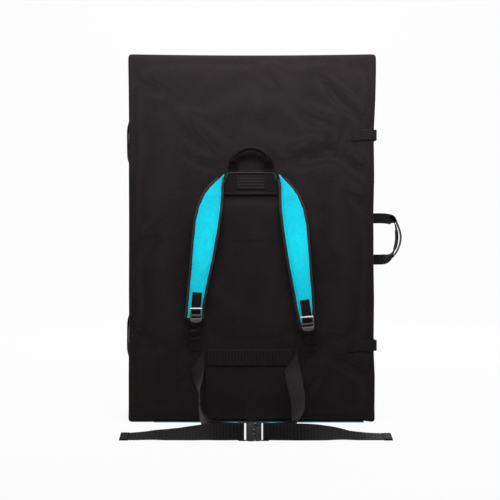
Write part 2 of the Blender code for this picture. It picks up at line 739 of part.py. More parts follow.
def shoulder_strap(name, side, body):
    """One padded strap: mesh against the back, foam, cloth outside, bound all round."""
    start = STRAP_CLOTH + FIT_GAP
    add(name + "_strap_mesh", "black_mesh",
        strap_layer(side, lambda k, share: 0, lambda k, share: STRAP_CLOTH), body)
    add(name + "_strap_foam", "closed_cell_foam",
        strap_layer(side, lambda k, share: start, lambda k, share: start + foam_thickness(k, share)), body)
    cover = start + 2 * FIT_GAP
    add(name + "_strap_cloth", "cyan_strap_cloth",
        strap_layer(side, lambda k, share: cover + foam_thickness(k, share),
                    lambda k, share: cover + foam_thickness(k, share) + STRAP_CLOTH), body)
    path = strap_edge(side)
    add(name + "_strap_binding", "grey_binding",
        ribbon(path, [Vector((0, 1, 0))] * len(path), BINDING_DEEP, BINDING_WIDE), body)


def strap_front(side, share):
    """The middle of a strap's front surface, this far down it."""
    x, z, _, lift = strap_place(side, share)
    return on_face(x, z, lift + STRAP_CLOTH * 2 + FIT_GAP * 3 + foam_thickness(0, share))


def lock_bar_place(side):
    """The middle of the ladder lock's top bar."""
    place = strap_front(side, LOCK_BAR_SHARE)
    return place - Vector((0, FIT_GAP + WEB_THICK + LOCK_TURN_GAP + LOCK_THICK / 2, 0))


def strap_keeper(name, side, body):
    """The webbing that holds the ladder lock: down the strap and back round its bar."""
    bar = lock_bar_place(side)
    away = LOCK_THICK / 2 + LOCK_TURN_GAP + WEB_THICK / 2
    down = LOCK_BAR / 2 + LOCK_TURN_GAP + WEB_THICK / 2
    top = strap_front(side, KEEPER_TOP_SHARE) - Vector((0, FIT_GAP + WEB_THICK / 2, 0))
    path = [top, (top + bar + Vector((0, away, 0))) / 2]
    turn = ((away, LOCK_BAR / 2), (away, -LOCK_BAR / 3), (away * 0.6, -down),
            (-away * 0.6, -down), (-away, -LOCK_BAR / 3), (-away, LOCK_BAR))
    path += [bar + Vector((0, y, z)) for y, z in turn]
    add(name + "_lock_keeper", "black_webbing",
        ribbon(path, [Vector((1, 0, 0))] * len(path), STRAP_WEB, WEB_THICK), body)


def ladder_lock(name, side, body):
    """The adjuster: a top bar, two slots with a grip bar between, and a lifting tab."""
    bar = lock_bar_place(side)
    high = bar.z + LOCK_BAR / 2
    low = high - LOCK_HEIGHT
    half = LOCK_WIDTH / 2
    radii = (LOCK_TAB_RADIUS, LOCK_BAR / 2, LOCK_BAR / 2, LOCK_TAB_RADIUS)
    outline = rounded(bar.x - half, bar.x + half, low, high, radii)
    lock = add(name + "_ladder_lock", "grey_plastic",
               plate(outline, bar.y - LOCK_THICK / 2, bar.y + LOCK_THICK / 2), body)
    top = high - LOCK_BAR
    for slot, height in (("keeper_slot", LOCK_KEEPER_SLOT), ("lower_slot", LOCK_LOWER_SLOT)):
        corner = Vector((bar.x - half + LOCK_RAIL, bar.y - LOCK_THICK, top - height))
        other = Vector((bar.x + half - LOCK_RAIL, bar.y + LOCK_THICK, top))
        cut(lock, slab(corner, other), name + "_" + slot)
        top -= height + LOCK_GRIP_BAR
    soften(lock, LOCK_BEVEL)


def lower_webbing(name, side, body):
    """The webbing from behind the ladder lock down to where it is sewn on the pad."""
    which = 0 if side < 0 else 1
    bar = lock_bar_place(side)
    behind = bar.y + LOCK_THICK / 2 + FIT_GAP + WEB_THICK / 2
    top = bar.z - LOCK_BAR / 2 - LOCK_KEEPER_SLOT - LOCK_GRIP_BAR / 2
    low = bar.z + LOCK_BAR / 2 - LOCK_HEIGHT
    seat = 2 * FIT_GAP + WEB_THICK / 2
    end_x = LOWER_WEB_END_X[which]
    foot = on_face(end_x, LOWER_WEB_END_Z + LOWER_WEB_SEAT, seat + WEB_THICK)
    rows = [(bar.x, behind, low),
            ((bar.x + end_x) / 2, (behind + foot.y) / 2 - LOWER_WEB_SAG / 2, (low + foot.z) / 2),
            tuple(foot), tuple(on_face(end_x, LOWER_WEB_END_Z, seat))]
    path = [Vector((bar.x, behind, top))] + [Vector(row) for row in smooth(rows, 2)]
    add(name + "_lower_webbing", "black_webbing",
        ribbon(path, [Vector((1, 0, 0))] * len(path), STRAP_WEB, WEB_THICK), body)


def lumbar():
    """The panel against the small of the back, its ribbed band and the bottom tab."""
    rows = even_rows(LUMBAR_BOTTOM, LUMBAR_TOP, LUMBAR_LEFT, LUMBAR_RIGHT, 5)
    add("lumbar_panel", "black_cover_cloth", face_panel(rows, FIT_GAP, PANEL_THICK, 6))
    rows = even_rows(LUMBAR_TOP - BELT_WEB, LUMBAR_TOP, BAND_LEFT, BAND_RIGHT, 1)
    add("lumbar_band", "black_webbing", face_panel(rows, WEB_LIFT, BELT_THICK, 6))
    left = TAB_X - TAB_PATCH_WIDTH / 2
    right = TAB_X + TAB_PATCH_WIDTH / 2
    rows = even_rows(TAB_PATCH_BOTTOM, TAB_PATCH_TOP, left, right, 1)
    add("bottom_tab_patch", "black_cover_cloth", face_panel(rows, WEB_LIFT, PANEL_THICK, 2))
    lift = WEB_LIFT + WEB_THICK / 2
    top = TAB_PATCH_BOTTOM - FIT_GAP
    path = [on_face(TAB_X, top * share, lift) for share in (1, 0.6, 0.3)]
    path.append(Vector((TAB_X, path[-1].y, TAB_WEB_END)))
    add("bottom_tab_webbing", "black_webbing",
        ribbon(path, [Vector((1, 0, 0))] * len(path), NARROW_WEB, WEB_THICK))


def closure_lift(z):
    """Where a closure strap's middle runs outside the right-hand wall."""
    return wall_x(z) + FIT_GAP + WEB_THICK / 2


def closure_turn_y():
    """Where the closure straps leave the front edge's rounding."""
    return FACE_Y + EDGE_RADIUS + CLOSURE_HINGE_SETBACK


def closure_patch(name, z, left):
    """The patch that a closure strap is sewn under on the face."""
    rows = even_rows(z - CLOSURE_PATCH_HEIGHT / 2, z + CLOSURE_PATCH_HEIGHT / 2,
                     left, left + CLOSURE_PATCH_WIDTH, 1)
    add(name + "_closure_patch", "black_cover_cloth", face_panel(rows, FIT_GAP, CLOSURE_PATCH_THICK, 2))


def closure_webbing(name, z, left):
    """The sewn end of a closure strap, from its patch round the front edge."""
    edge = wall_x(z) - EDGE_RADIUS
    path = [on_face(left + CLOSURE_PATCH_WIDTH + FIT_GAP, z, FIT_GAP + WEB_THICK / 2)]
    radius = EDGE_RADIUS + FIT_GAP + WEB_THICK / 2
    flat = FACE_Y + EDGE_RADIUS
    for step in range(CLOSURE_TURN_STEPS + 1):
        turn = math.pi / 2 * step / CLOSURE_TURN_STEPS
        settle = crown(edge, z) * math.cos(turn)
        path.append(Vector((edge + radius * math.sin(turn), flat - radius * math.cos(turn) - settle, z)))
    add(name + "_closure_webbing", "black_webbing",
        ribbon(path, [Vector((0, 0, 1))] * len(path), NARROW_WEB, WEB_THICK))


def hook_near_y():
    """The front end of a closure hook on the wall."""
    return FOLD_Y - HOOK_SETBACK - HOOK_BAR - HOOK_SLOT


def closure_strap(name, z, body):
    """The free end of a closure strap, folded back through its hook."""
    x = closure_lift(z)
    plate_x = wall_x(z) + 2 * FIT_GAP + WEB_THICK + HOOK_THICK / 2
    out = 2 * (plate_x - x)
    slot = hook_near_y() + HOOK_BAR + HOOK_SLOT / 2
    bend = HOOK_THICK / 2 + FIT_GAP + WEB_THICK / 2
    path = [Vector((x, closure_turn_y() + FIT_GAP, z)), Vector((x, slot - HOOK_SLOT / 2, z))]
    for turn in (-45, 0, 45):
        reach = math.cos(turn * DEGREE) * WEB_THICK / 2
        path.append(Vector((plate_x + bend * math.sin(turn * DEGREE), slot - WEB_THICK / 2 + reach, z)))
    path.append(Vector((x + out, slot - HOOK_SLOT / 2, z)))
    path.append(Vector((x + out, hook_near_y() - HOOK_LENGTH, z)))
    add(name + "_closure_strap", "black_webbing",
        ribbon(path, [Vector((0, 0, 1))] * len(path), NARROW_WEB, WEB_THICK), body)


def closure_hook(name, z, body):
    """A flat hook: a slot for the strap and an open slot that takes the keeper."""
    near = hook_near_y()
    far = near + HOOK_LENGTH
    low_x = wall_x(z) + 2 * FIT_GAP + WEB_THICK
    outline = rounded(near, far, z - HOOK_WIDTH / 2, z + HOOK_WIDTH / 2, (HOOK_CORNER,) * 4)
    rings = [[Vector((x, y, up)) for y, up in outline] for x in (low_x, low_x + HOOK_THICK)]
    hook = add(name + "_closure_hook", "dark_aluminium", loft(rings), body)
    low = Vector((low_x - CUT_OVERRUN, near + HOOK_BAR, z - HOOK_WIDTH / 2 + HOOK_RAIL))
    high = Vector((low_x + HOOK_THICK + CUT_OVERRUN, near + HOOK_BAR + HOOK_SLOT, z + HOOK_WIDTH / 2 - HOOK_RAIL))
    cut(hook, slab(low, high), name + "_strap_slot")
    start = far - HOOK_BAR - HOOK_MOUTH
    low = Vector((low.x, start, z - HOOK_WIDTH / 2 - CUT_OVERRUN))
    high = Vector((high.x, start + HOOK_MOUTH, high.z))
    cut(hook, slab(low, high), name + "_hook_mouth")
    soften(hook, HOOK_BEVEL)


def closure_keeper(name, z, body):
    """The keeper that the hook catches, sewn flat on the rear cushion's wall."""
    x = closure_lift(z)
    start = FAR_LANDING_Y + FOLD_GAP
    path = [Vector((x, start + KEEPER_LOOP_LENGTH * share, z)) for share in (0, 0.5, 1)]
    add(name + "_closure_keeper", "black_webbing",
        ribbon(path, [Vector((0, 0, 1))] * 3, NARROW_WEB, WEB_THICK), body)


def handle_run(shares):
    """Points and width directions of the carrying handle from its table of shares."""
    y = (NEAR_LANDING_Y + FACE_Y) / 2
    root = wall_x(HANDLE_MID_Z) + HANDLE_ROOT_GAP
    path = []
    sides = []
    for out, up, twist in smooth(shares, HANDLE_SMOOTH_STEPS):
        path.append(Vector((root + HANDLE_REACH * out, y, HANDLE_MID_Z + HANDLE_SPAN * up)))
        turn = math.pi / 2 * max(0, min(1, twist))
        sides.append(Vector((0, math.sin(turn), math.cos(turn))))
    return path, sides


def along_handle(section_at, shares):
    """A body along part of the handle's webbing: section_at gives its corners there."""
    path, sides = handle_run(HANDLE_PATH_SHARES)
    low, high = (int(share * len(path)) for share in shares)
    rings = []
    for i in range(low, high):
        along = (path[i + 1] - path[i - 1]).normalized()
        across = (sides[i] - along * sides[i].dot(along)).normalized()
        out = along.cross(across)
        corners = section_at((i - low) / (high - 1 - low))
        rings.append([path[i] + across * a + out * b for a, b in corners])
    return loft(rings)


def carry_handle(body):
    """The loop on the wall: webbing turned on edge through a padded grip."""
    path, sides = handle_run(HANDLE_PATH_SHARES)
    add("carry_handle_webbing", "black_webbing", ribbon(path, sides, NARROW_WEB, WEB_THICK), body)
    add("carry_handle_outer_layer", "black_webbing", along_handle(loose_section, LOOSE_LAYER_SHARES), body)
    add("carry_handle_grip", "black_cover_cloth", along_handle(sleeve_section, GRIP_SLEEVE_SHARES), body)


def loose_section(share):
    """The loose second layer of webbing, which stands off in the middle of its run."""
    half = NARROW_WEB / 2
    low = WEB_THICK / 2 + 2 * FIT_GAP + LOOSE_LAYER_BULGE * math.sin(math.pi * share)
    high = low + WEB_THICK
    return (-half, low), (half, low), (half, high), (-half, high)


def sleeve_section(share):
    """The grip's padded cover, wrapped round the webbing with its seam on one edge."""
    hole = (NARROW_WEB / 2 + FIT_GAP, WEB_THICK / 2 + FIT_GAP)
    wide, deep = (size + GRIP_SLEEVE_WALL for size in hole)
    seam = FIT_GAP / 2
    return ((wide, seam), (wide, deep), (-wide, deep), (-wide, -deep), (wide, -deep), (wide, -seam),
            (hole[0], -seam), (hole[0], -hole[1]), (-hole[0], -hole[1]), (-hole[0], hole[1]),
            (hole[0], hole[1]), (hole[0], seam))


def buckle_point(x, y, z):
    """A point measured from the buckle's middle."""
    return Vector((BUCKLE_X + x, BELT_Y + y, BUCKLE_HEIGHT / 2 + z))


def buckle_block(low, high):
    return slab(buckle_point(*low), buckle_point(*high))


def buckle_plate(outline, thickness):
    """An outline measured from the buckle's middle, extruded evenly both ways."""
    placed = [(BUCKLE_X + x, BUCKLE_HEIGHT / 2 + z) for x, z in outline]
    return plate(placed, BELT_Y - thickness / 2, BELT_Y + thickness / 2)


def web_slots(piece, way, name):
    """The two slots at one end of the buckle, with the grip bar between."""
    half = BUCKLE_SLOT_LENGTH / 2
    deep = BUCKLE_FRAME_THICK
    first = BUCKLE_END - BUCKLE_END_BAR
    second = first - BUCKLE_WEB_SLOT
    third = second - BUCKLE_GRIP_BAR
    for label, far, near in (("web_slot", first, second), ("open_slot", third, STEM_RIGHT)):
        left, right = sorted((way * far, way * near))
        cut(piece, buckle_block((left, -deep, -half), (right, deep, half)), name + "_" + label)


def buckle_female(body):
    """The socket half: a hollow body with side windows, and a webbing frame."""
    half = BUCKLE_HEIGHT / 2
    corner = BUCKLE_CORNER
    outline = rounded(-STEM_RIGHT, MOUTH_X, -half, half, (corner / 2, corner / 2, corner, corner))
    socket = add("buckle_socket", "black_plastic", buckle_plate(outline, BUCKLE_THICK), body)
    frame = rounded(-BUCKLE_END, -STEM_RIGHT + BUCKLE_WALL, -half, half, (corner / 4, corner / 4, corner, corner))
    join(socket, buckle_plate(frame, BUCKLE_FRAME_THICK), "socket_frame")
    web_slots(socket, -1, "socket")
    inside = half - BUCKLE_WALL
    deep = BUCKLE_THICK / 2 - BUCKLE_WALL
    low = (-STEM_RIGHT + BUCKLE_WALL, -deep, -inside)
    cut(socket, buckle_block(low, (MOUTH_X + CUT_OVERRUN, deep, inside)), "socket_pocket")
    low = (WINDOW_LEFT, -deep, -half - CUT_OVERRUN)
    cut(socket, buckle_block(low, (WINDOW_RIGHT, deep, half + CUT_OVERRUN)), "socket_windows")
    cut(socket, scallop(), "socket_mouth")
    soften(socket, BUCKLE_BEVEL)


def scallop():
    """The round bite out of the socket's mouth, front and back."""
    shape = bmesh.new()
    bmesh.ops.create_cone(shape, cap_ends=True, segments=16, radius1=MOUTH_SCALLOP, radius2=MOUTH_SCALLOP,
                          depth=BUCKLE_THICK + CUT_OVERRUN * 2)
    bmesh.ops.rotate(shape, verts=shape.verts, cent=(0, 0, 0), matrix=quarter_turn())
    bmesh.ops.translate(shape, verts=shape.verts, vec=buckle_point(MOUTH_X + MOUTH_SCALLOP / 2, 0, 0))
    return shape


def quarter_turn():
    """Turns Z into Y."""
    return Vector((0, 0, 1)).rotation_difference(Vector((0, 1, 0))).to_matrix()


def buckle_male(body):
    """The plug half: a stem with its guide tongue, and a webbing frame."""
    half = BUCKLE_HEIGHT / 2
    corner = BUCKLE_CORNER
    outline = rounded(STEM_LEFT, BUCKLE_END, -half, half, (corner, corner, corner / 2, corner / 2))
    plug = add("buckle_plug", "black_plastic", buckle_plate(outline, BUCKLE_FRAME_THICK), body)
    inside = half - BUCKLE_WALL - FIT_GAP
    stem = rounded(STEM_LEFT, STEM_RIGHT, -inside, inside, (corner / 2,) * 4)
    join(plug, buckle_plate(stem, STEM_THICK), "plug_stem")
    tongue = rounded(TONGUE_LEFT, STEM_LEFT + BUCKLE_WALL, -TONGUE_HEIGHT / 2, TONGUE_HEIGHT / 2,
                     (corner / 4, corner / 4, corner / 2, corner / 2))
    join(plug, buckle_plate(tongue, PRONG_THICK), "plug_tongue")
    for way, name in ((1, "upper_prong"), (-1, "lower_prong")):
        join(plug, prong(way), name)
    web_slots(plug, 1, "plug")
    soften(plug, BUCKLE_BEVEL)


def prong(way):
    """A sprung arm whose button stands in the socket's window."""
    waist = (PRONG_ROOT_LOW + PRONG_ROOT_HIGH) / 2
    button = BUCKLE_HEIGHT / 2 - BUCKLE_WALL - FIT_GAP
    outline = [
        (STEM_LEFT + BUCKLE_WALL, PRONG_ROOT_LOW), (STEM_LEFT + BUCKLE_WALL, PRONG_ROOT_HIGH),
        (PRONG_BUTTON_RIGHT + BUCKLE_WALL, PRONG_ROOT_HIGH + BUCKLE_WALL),
        (PRONG_BUTTON_RIGHT, button), (PRONG_BUTTON_LEFT, button),
        (PRONG_TIP_X, waist), (PRONG_TIP_X, PRONG_ROOT_LOW), (PRONG_BUTTON_RIGHT, waist - FIT_GAP),
    ]
    return buckle_plate([(x, way * z) for x, z in outline], PRONG_THICK)


def bar_turn(way):
    """The webbing's path from behind the buckle's grip bar round to its front."""
    inner = BUCKLE_END - BUCKLE_END_BAR - BUCKLE_WEB_SLOT - BUCKLE_GRIP_BAR
    away = BUCKLE_FRAME_THICK / 2 + FIT_GAP + BELT_THICK / 2
    bend = inner - 3 * FIT_GAP - BELT_THICK / 2
    start = BUCKLE_END - BUCKLE_END_BAR
    rows = [(start, away), (inner, away), (bend, away / 2), (bend, -away / 2), (inner, -away),
            (BUCKLE_END + BUCKLE_END_BAR, -away)]
    return [buckle_point(way * x, y, 0) for x, y in rows]


def tail_point(which, share):
    """A belt tail's middle and its width direction, which leans back along its length."""
    way = (-1, 1)[which]
    start = bar_turn(way)[-1]
    x = start.x + (TAIL_ENDS[which] - start.x) * share
    lean = TAIL_LEANS[which] * between(TAIL_LEAN_SHARES[which], share)
    side = Vector((0, math.sin(lean), math.cos(lean)))
    foot_z = start.z - BELT_WEB / 2
    low_z = TAIL_FLOOR_GAP + math.sin(lean) * TAIL_HEM_THICK / 2
    foot_z += (low_z - foot_z) * min(1, share * 2)
    return Vector((x, start.y, foot_z)) + side * BELT_WEB / 2, side


def belt_tail(name, which, body):
    """The loose end of the belt, from the buckle out to its folded hem."""
    path = bar_turn((-1, 1)[which])
    sides = [Vector((0, 0, 1))] * len(path)
    for step in range(1, TAIL_STEPS + 1):
        point, side = tail_point(which, step / TAIL_STEPS)
        path.append(point)
        sides.append(side)
    hem = path[-1] + Vector(((-1, 1)[which] * TAIL_HEM_LENGTH, 0, 0))
    thickness = [BELT_THICK] * len(path) + [TAIL_HEM_THICK] * 2
    path += [path[-1] + (hem - path[-1]) * HEM_STEP_SHARE, hem]
    sides += [sides[-1]] * 2
    add(name + "_belt_tail", "black_webbing", ribbon(path, sides, BELT_WEB, thickness), body)


def belt_wing(name, which, body):
    """The webbing from the lumbar panel's edge, down and forward to the buckle."""
    way = (-1, 1)[which]
    edge = (LUMBAR_LEFT, LUMBAR_RIGHT)[which] + way * PANEL_EDGE_GAP
    root = on_face(edge, BELT_HINGE_Z, FIT_GAP + BELT_THICK / 2)
    end = bar_turn(way)[0] + Vector((way * 2 * FIT_GAP, 0, 0))
    path = []
    sides = []
    for along, ahead, up, *side in smooth(WING_SHARES[which], WING_SMOOTH_STEPS):
        path.append(Vector((root.x + (end.x - root.x) * along,
                            root.y + (BELT_Y - root.y) * ahead,
                            end.z + (root.z - end.z) * up)))
        sides.append(Vector(side))
    path[-1] = end
    add(name + "_belt_wing", "grey_webbing", ribbon(path, sides, BELT_WEB, BELT_THICK, True), body)


def harness(names):
    """The shoulder straps with their ladder locks."""
    for name, side in names:
        top = strap_front(side, 0)
        strap = pivot(name + "_strap_pivot", top)
        shoulder_strap(name, side, strap)
        strap_keeper(name, side, strap)
        lock = pivot(name + "_lock_pivot", lock_bar_place(side), strap)
        ladder_lock(name, side, lock)
        lower_webbing(name, side, strap)


def closures(rear):
    """The two straps that hold the pad shut at its right-hand edge."""
    for name, z, inset in zip(("upper", "lower"), CLOSURE_Z, CLOSURE_PATCH_INSET):
        left = PAD_WIDTH / 2 - inset
        closure_patch(name, z, left)
        closure_webbing(name, z, left)
        closure_keeper(name, z, rear)
        turn = pivot(name + "_closure_pivot", Vector((closure_lift(z), closure_turn_y(), z)))
        closure_strap(name, z, turn)
        closure_hook(name, z, turn)


def belt():
    """The hip belt with its side-release buckle."""
    root = on_face(BUCKLE_X, BELT_HINGE_Z, FIT_GAP + BELT_THICK / 2)
    waist = pivot("belt_pivot", root)
    buckle_female(waist)
    plug = pivot("plug_pivot", buckle_point(STEM_LEFT, 0, 0), waist)
    buckle_male(plug)
    belt_tail("left", 0, waist)
    belt_tail("right", 1, plug)
    belt_wing("left", 0, waist)
    belt_wing("right", 1, waist)


def build():
    clear_scene()
    rear = pivot("fold_pivot", Vector((HINGE_X, FOLD_Y, 0)))
    front_cushion()
    rear_cushion(rear)
    hinge_cloth()
    spine_handles()
    back_tab(rear)
    bottom_flap(pivot("flap_pivot", Vector((HINGE_X, FOLD_Y, 0)), rear))
    yoke()
    grab_handle(pivot("grab_pivot", on_face((YOKE_LEFT + YOKE_RIGHT) / 2, GRAB_BASE, GRAB_LIFT)))
    harness((("left", -1), ("right", 1)))
    lumbar()
    closures(rear)
    carry_handle(pivot("carry_pivot", handle_run(HANDLE_PATH_SHARES)[0][0]))
    belt()


build()
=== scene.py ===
import json
import math

import bmesh
import bpy
import numpy as np
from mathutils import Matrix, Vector, noise

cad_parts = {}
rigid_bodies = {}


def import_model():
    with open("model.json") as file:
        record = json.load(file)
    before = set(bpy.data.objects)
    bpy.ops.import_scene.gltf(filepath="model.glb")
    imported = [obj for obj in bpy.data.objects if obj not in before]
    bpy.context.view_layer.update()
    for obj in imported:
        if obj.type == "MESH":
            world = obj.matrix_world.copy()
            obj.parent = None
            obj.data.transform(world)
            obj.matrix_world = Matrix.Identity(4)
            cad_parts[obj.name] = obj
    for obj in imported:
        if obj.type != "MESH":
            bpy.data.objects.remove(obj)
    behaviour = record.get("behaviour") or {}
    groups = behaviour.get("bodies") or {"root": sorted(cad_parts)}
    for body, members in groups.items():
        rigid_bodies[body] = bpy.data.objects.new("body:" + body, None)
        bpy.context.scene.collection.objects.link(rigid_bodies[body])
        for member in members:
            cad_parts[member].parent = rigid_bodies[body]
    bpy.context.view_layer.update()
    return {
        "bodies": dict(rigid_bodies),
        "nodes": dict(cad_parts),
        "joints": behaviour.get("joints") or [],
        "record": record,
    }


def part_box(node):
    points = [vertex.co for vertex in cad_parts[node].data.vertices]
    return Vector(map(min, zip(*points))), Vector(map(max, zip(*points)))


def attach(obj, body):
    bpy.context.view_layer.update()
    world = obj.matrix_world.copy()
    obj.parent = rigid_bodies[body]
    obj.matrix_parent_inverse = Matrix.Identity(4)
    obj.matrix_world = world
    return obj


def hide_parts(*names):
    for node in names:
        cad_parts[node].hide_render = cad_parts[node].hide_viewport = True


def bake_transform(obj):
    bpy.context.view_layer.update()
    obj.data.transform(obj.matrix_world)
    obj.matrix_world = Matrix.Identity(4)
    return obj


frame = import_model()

# The room is a pale matt floor that sweeps up into a wall, as in a studio for product pictures.
# One broad lamp hangs above and in front of the pad. Others fill in from the front, the sides and
# behind, and a strong one lights the wall.
mm = 0.001
scene = bpy.context.scene
scene.view_settings.view_transform = "Standard"

camera_data = bpy.data.cameras.new("camera")
camera_data.lens = 68.7
camera = bpy.data.objects.new("camera", camera_data)
camera.location = (-4 * mm, -2436 * mm, 416 * mm)
camera.rotation_euler = (math.pi / 2, 0, 0)
scene.collection.objects.link(camera)
scene.camera = camera


def hang_lamp(name, place, aim, wide, high, power):
    """A soft lamp at a place, turned towards its aim."""
    data = bpy.data.lights.new(name, "AREA")
    data.shape = "RECTANGLE"
    data.size = wide
    data.size_y = high
    data.energy = power
    lamp = bpy.data.objects.new(name, data)
    lamp.location = place
    lamp.rotation_euler = (Vector(aim) - Vector(place)).to_track_quat("-Z", "Y").to_euler()
    scene.collection.objects.link(lamp)


# each lamp's place and aim, its width and height, and its power in watts
hang_lamp("overhead_lamp", (0.05, -0.64, 1.36), (0, -0.1, 0.85), 1.1, 0.5, 22)
hang_lamp("front_fill", (-0.9, -3.2, 1.0), (0, 0, 0.45), 1.6, 1.4, 6)
hang_lamp("left_edge_lamp", (-2.4, -0.3, 1.3), (0, 0, 0.5), 0.8, 1.6, 0.6)
hang_lamp("right_edge_lamp", (2.4, -0.3, 1.3), (0, 0, 0.5), 0.8, 1.6, 0.6)
hang_lamp("rear_fill", (0.8, 2.6, 1.7), (0, 0, 0.5), 1.2, 1.0, 22)
hang_lamp("wall_lamp", (0, 1.4, 3.2), (0, 4, 0.6), 3.5, 1.0, 160)


def linear_colour(code):
    """An sRGB hex code as a linear colour."""
    channels = [int(code[i:i + 2], 16) / 255 for i in (1, 3, 5)]
    return tuple(c / 12.92 if c <= 0.04045 else ((c + 0.055) / 1.055) ** 2.4 for c in channels) + (1,)


def add_node(tree, kind, sockets=(), **settings):
    """A node with its settings; each socket takes a value or another node's output."""
    node = tree.nodes.new(kind)
    for key, value in settings.items():
        setattr(node, key, value)
    for key, value in dict(sockets).items():
        if isinstance(value, bpy.types.NodeSocket):
            tree.links.new(value, node.inputs[key])
        else:
            node.inputs[key].default_value = value
    return node


def new_material(name):
    """A material, its node tree and its main shader."""
    material = bpy.data.materials.new(name)
    material.use_nodes = True
    tree = material.node_tree
    return material, tree, tree.nodes["Principled BSDF"]


world = bpy.data.worlds.new("studio")
world.use_nodes = True
scene.world = world
sky = world.node_tree
rays = add_node(sky, "ShaderNodeLightPath")
seen = add_node(sky, "ShaderNodeMath", {0: rays.outputs["Is Camera Ray"], 1: rays.outputs["Is Glossy Ray"]},
                operation="ADD")
seen = add_node(sky, "ShaderNodeMath", {0: seen.outputs[0], 1: rays.outputs["Is Transmission Ray"]},
                operation="ADD", use_clamp=True)
level = add_node(sky, "ShaderNodeMapRange", {0: seen.outputs[0], "To Min": 0.12, "To Max": 1})
sky.links.new(level.outputs[0], sky.nodes["Background"].inputs["Strength"])
sky.nodes["Background"].inputs["Color"].default_value = (1, 1, 1, 1)

floor_paint, tree, shader = new_material("matt_floor_paint")
shader.inputs["Base Color"].default_value = linear_colour("#C9C8C6")
shader.inputs["Roughness"].default_value = 0.9
rays = add_node(tree, "ShaderNodeLightPath")
glow = add_node(tree, "ShaderNodeEmission", {"Color": (1, 1, 1, 1), "Strength": 1})
share = add_node(tree, "ShaderNodeMath", {0: rays.outputs["Is Camera Ray"], 1: 0.92}, operation="MULTIPLY")
paint = add_node(tree, "ShaderNodeMixShader", {0: share.outputs[0], 1: shader.outputs[0], 2: glow.outputs[0]})
tree.links.new(paint.outputs[0], tree.nodes["Material Output"].inputs["Surface"])


def as_piece(name, shape, material):
    """A worked shape as a named piece, smooth and with its finish."""
    mesh = bpy.data.meshes.new(name)
    shape.to_mesh(mesh)
    shape.free()
    mesh.shade_smooth()
    mesh.materials.append(material)
    piece = bpy.data.objects.new(name, mesh)
    scene.collection.objects.link(piece)
    return piece


# in metres: the floor's front edge and half width, how it sweeps up, and the wall's height
floor_front = -6.0
floor_half = 7.0
sweep_start = 3.0
sweep_radius = 1.2
wall_top = 6.0
profile = [(floor_front, 0.0), (sweep_start, 0.0)]
for step in range(1, 13):
    turn = math.pi / 2 * step / 12
    profile.append((sweep_start + sweep_radius * math.sin(turn), sweep_radius * (1 - math.cos(turn))))
profile.append((sweep_start + sweep_radius, wall_top))
shape = bmesh.new()
left_row, right_row = ([shape.verts.new((x, y, z)) for y, z in profile] for x in (-floor_half, floor_half))
for i in range(len(profile) - 1):
    shape.faces.new((left_row[i], right_row[i], right_row[i + 1], left_row[i + 1]))
floor = as_piece("floor", shape, floor_paint)

# The two cushions are blocks of foam in a sewn cover of heavy black nylon pack cloth, coated inside.
# The cover is cut as a face and four walls and sewn round the edges, so the faces stand out a little,
# the walls draw in between the corners, and slack cloth folds from the sewn fittings to the edges.
pad_half = 297.5 * mm
pad_height = 890 * mm
face_y = -136 * mm
half_depth = 90 * mm
near_landing_y = face_y + half_depth
far_landing_y = near_landing_y + 1 * mm
landing_inset = 1.2 * mm
side_draw = 3 * mm
face_crown = 4 * mm
edge_radius = 9 * mm
cover_cell = 8.5 * mm
flap_left = -238 * mm
flap_right = 272 * mm
flap_recess = 2.7 * mm
recess_fade = 25 * mm


def wave_scale(period):
    """The scale at which a wave texture repeats after this length."""
    return 2 * math.pi / 20 / period


def lead_in(tree, shader, tone, matt, bumps):
    """Leads a finish's colour, roughness and bumps into its shader."""
    for socket, source in (("Base Color", tone.outputs[2]), ("Roughness", matt.outputs[0]),
                           ("Normal", bumps.outputs[0])):
        tree.links.new(source, shader.inputs[socket])


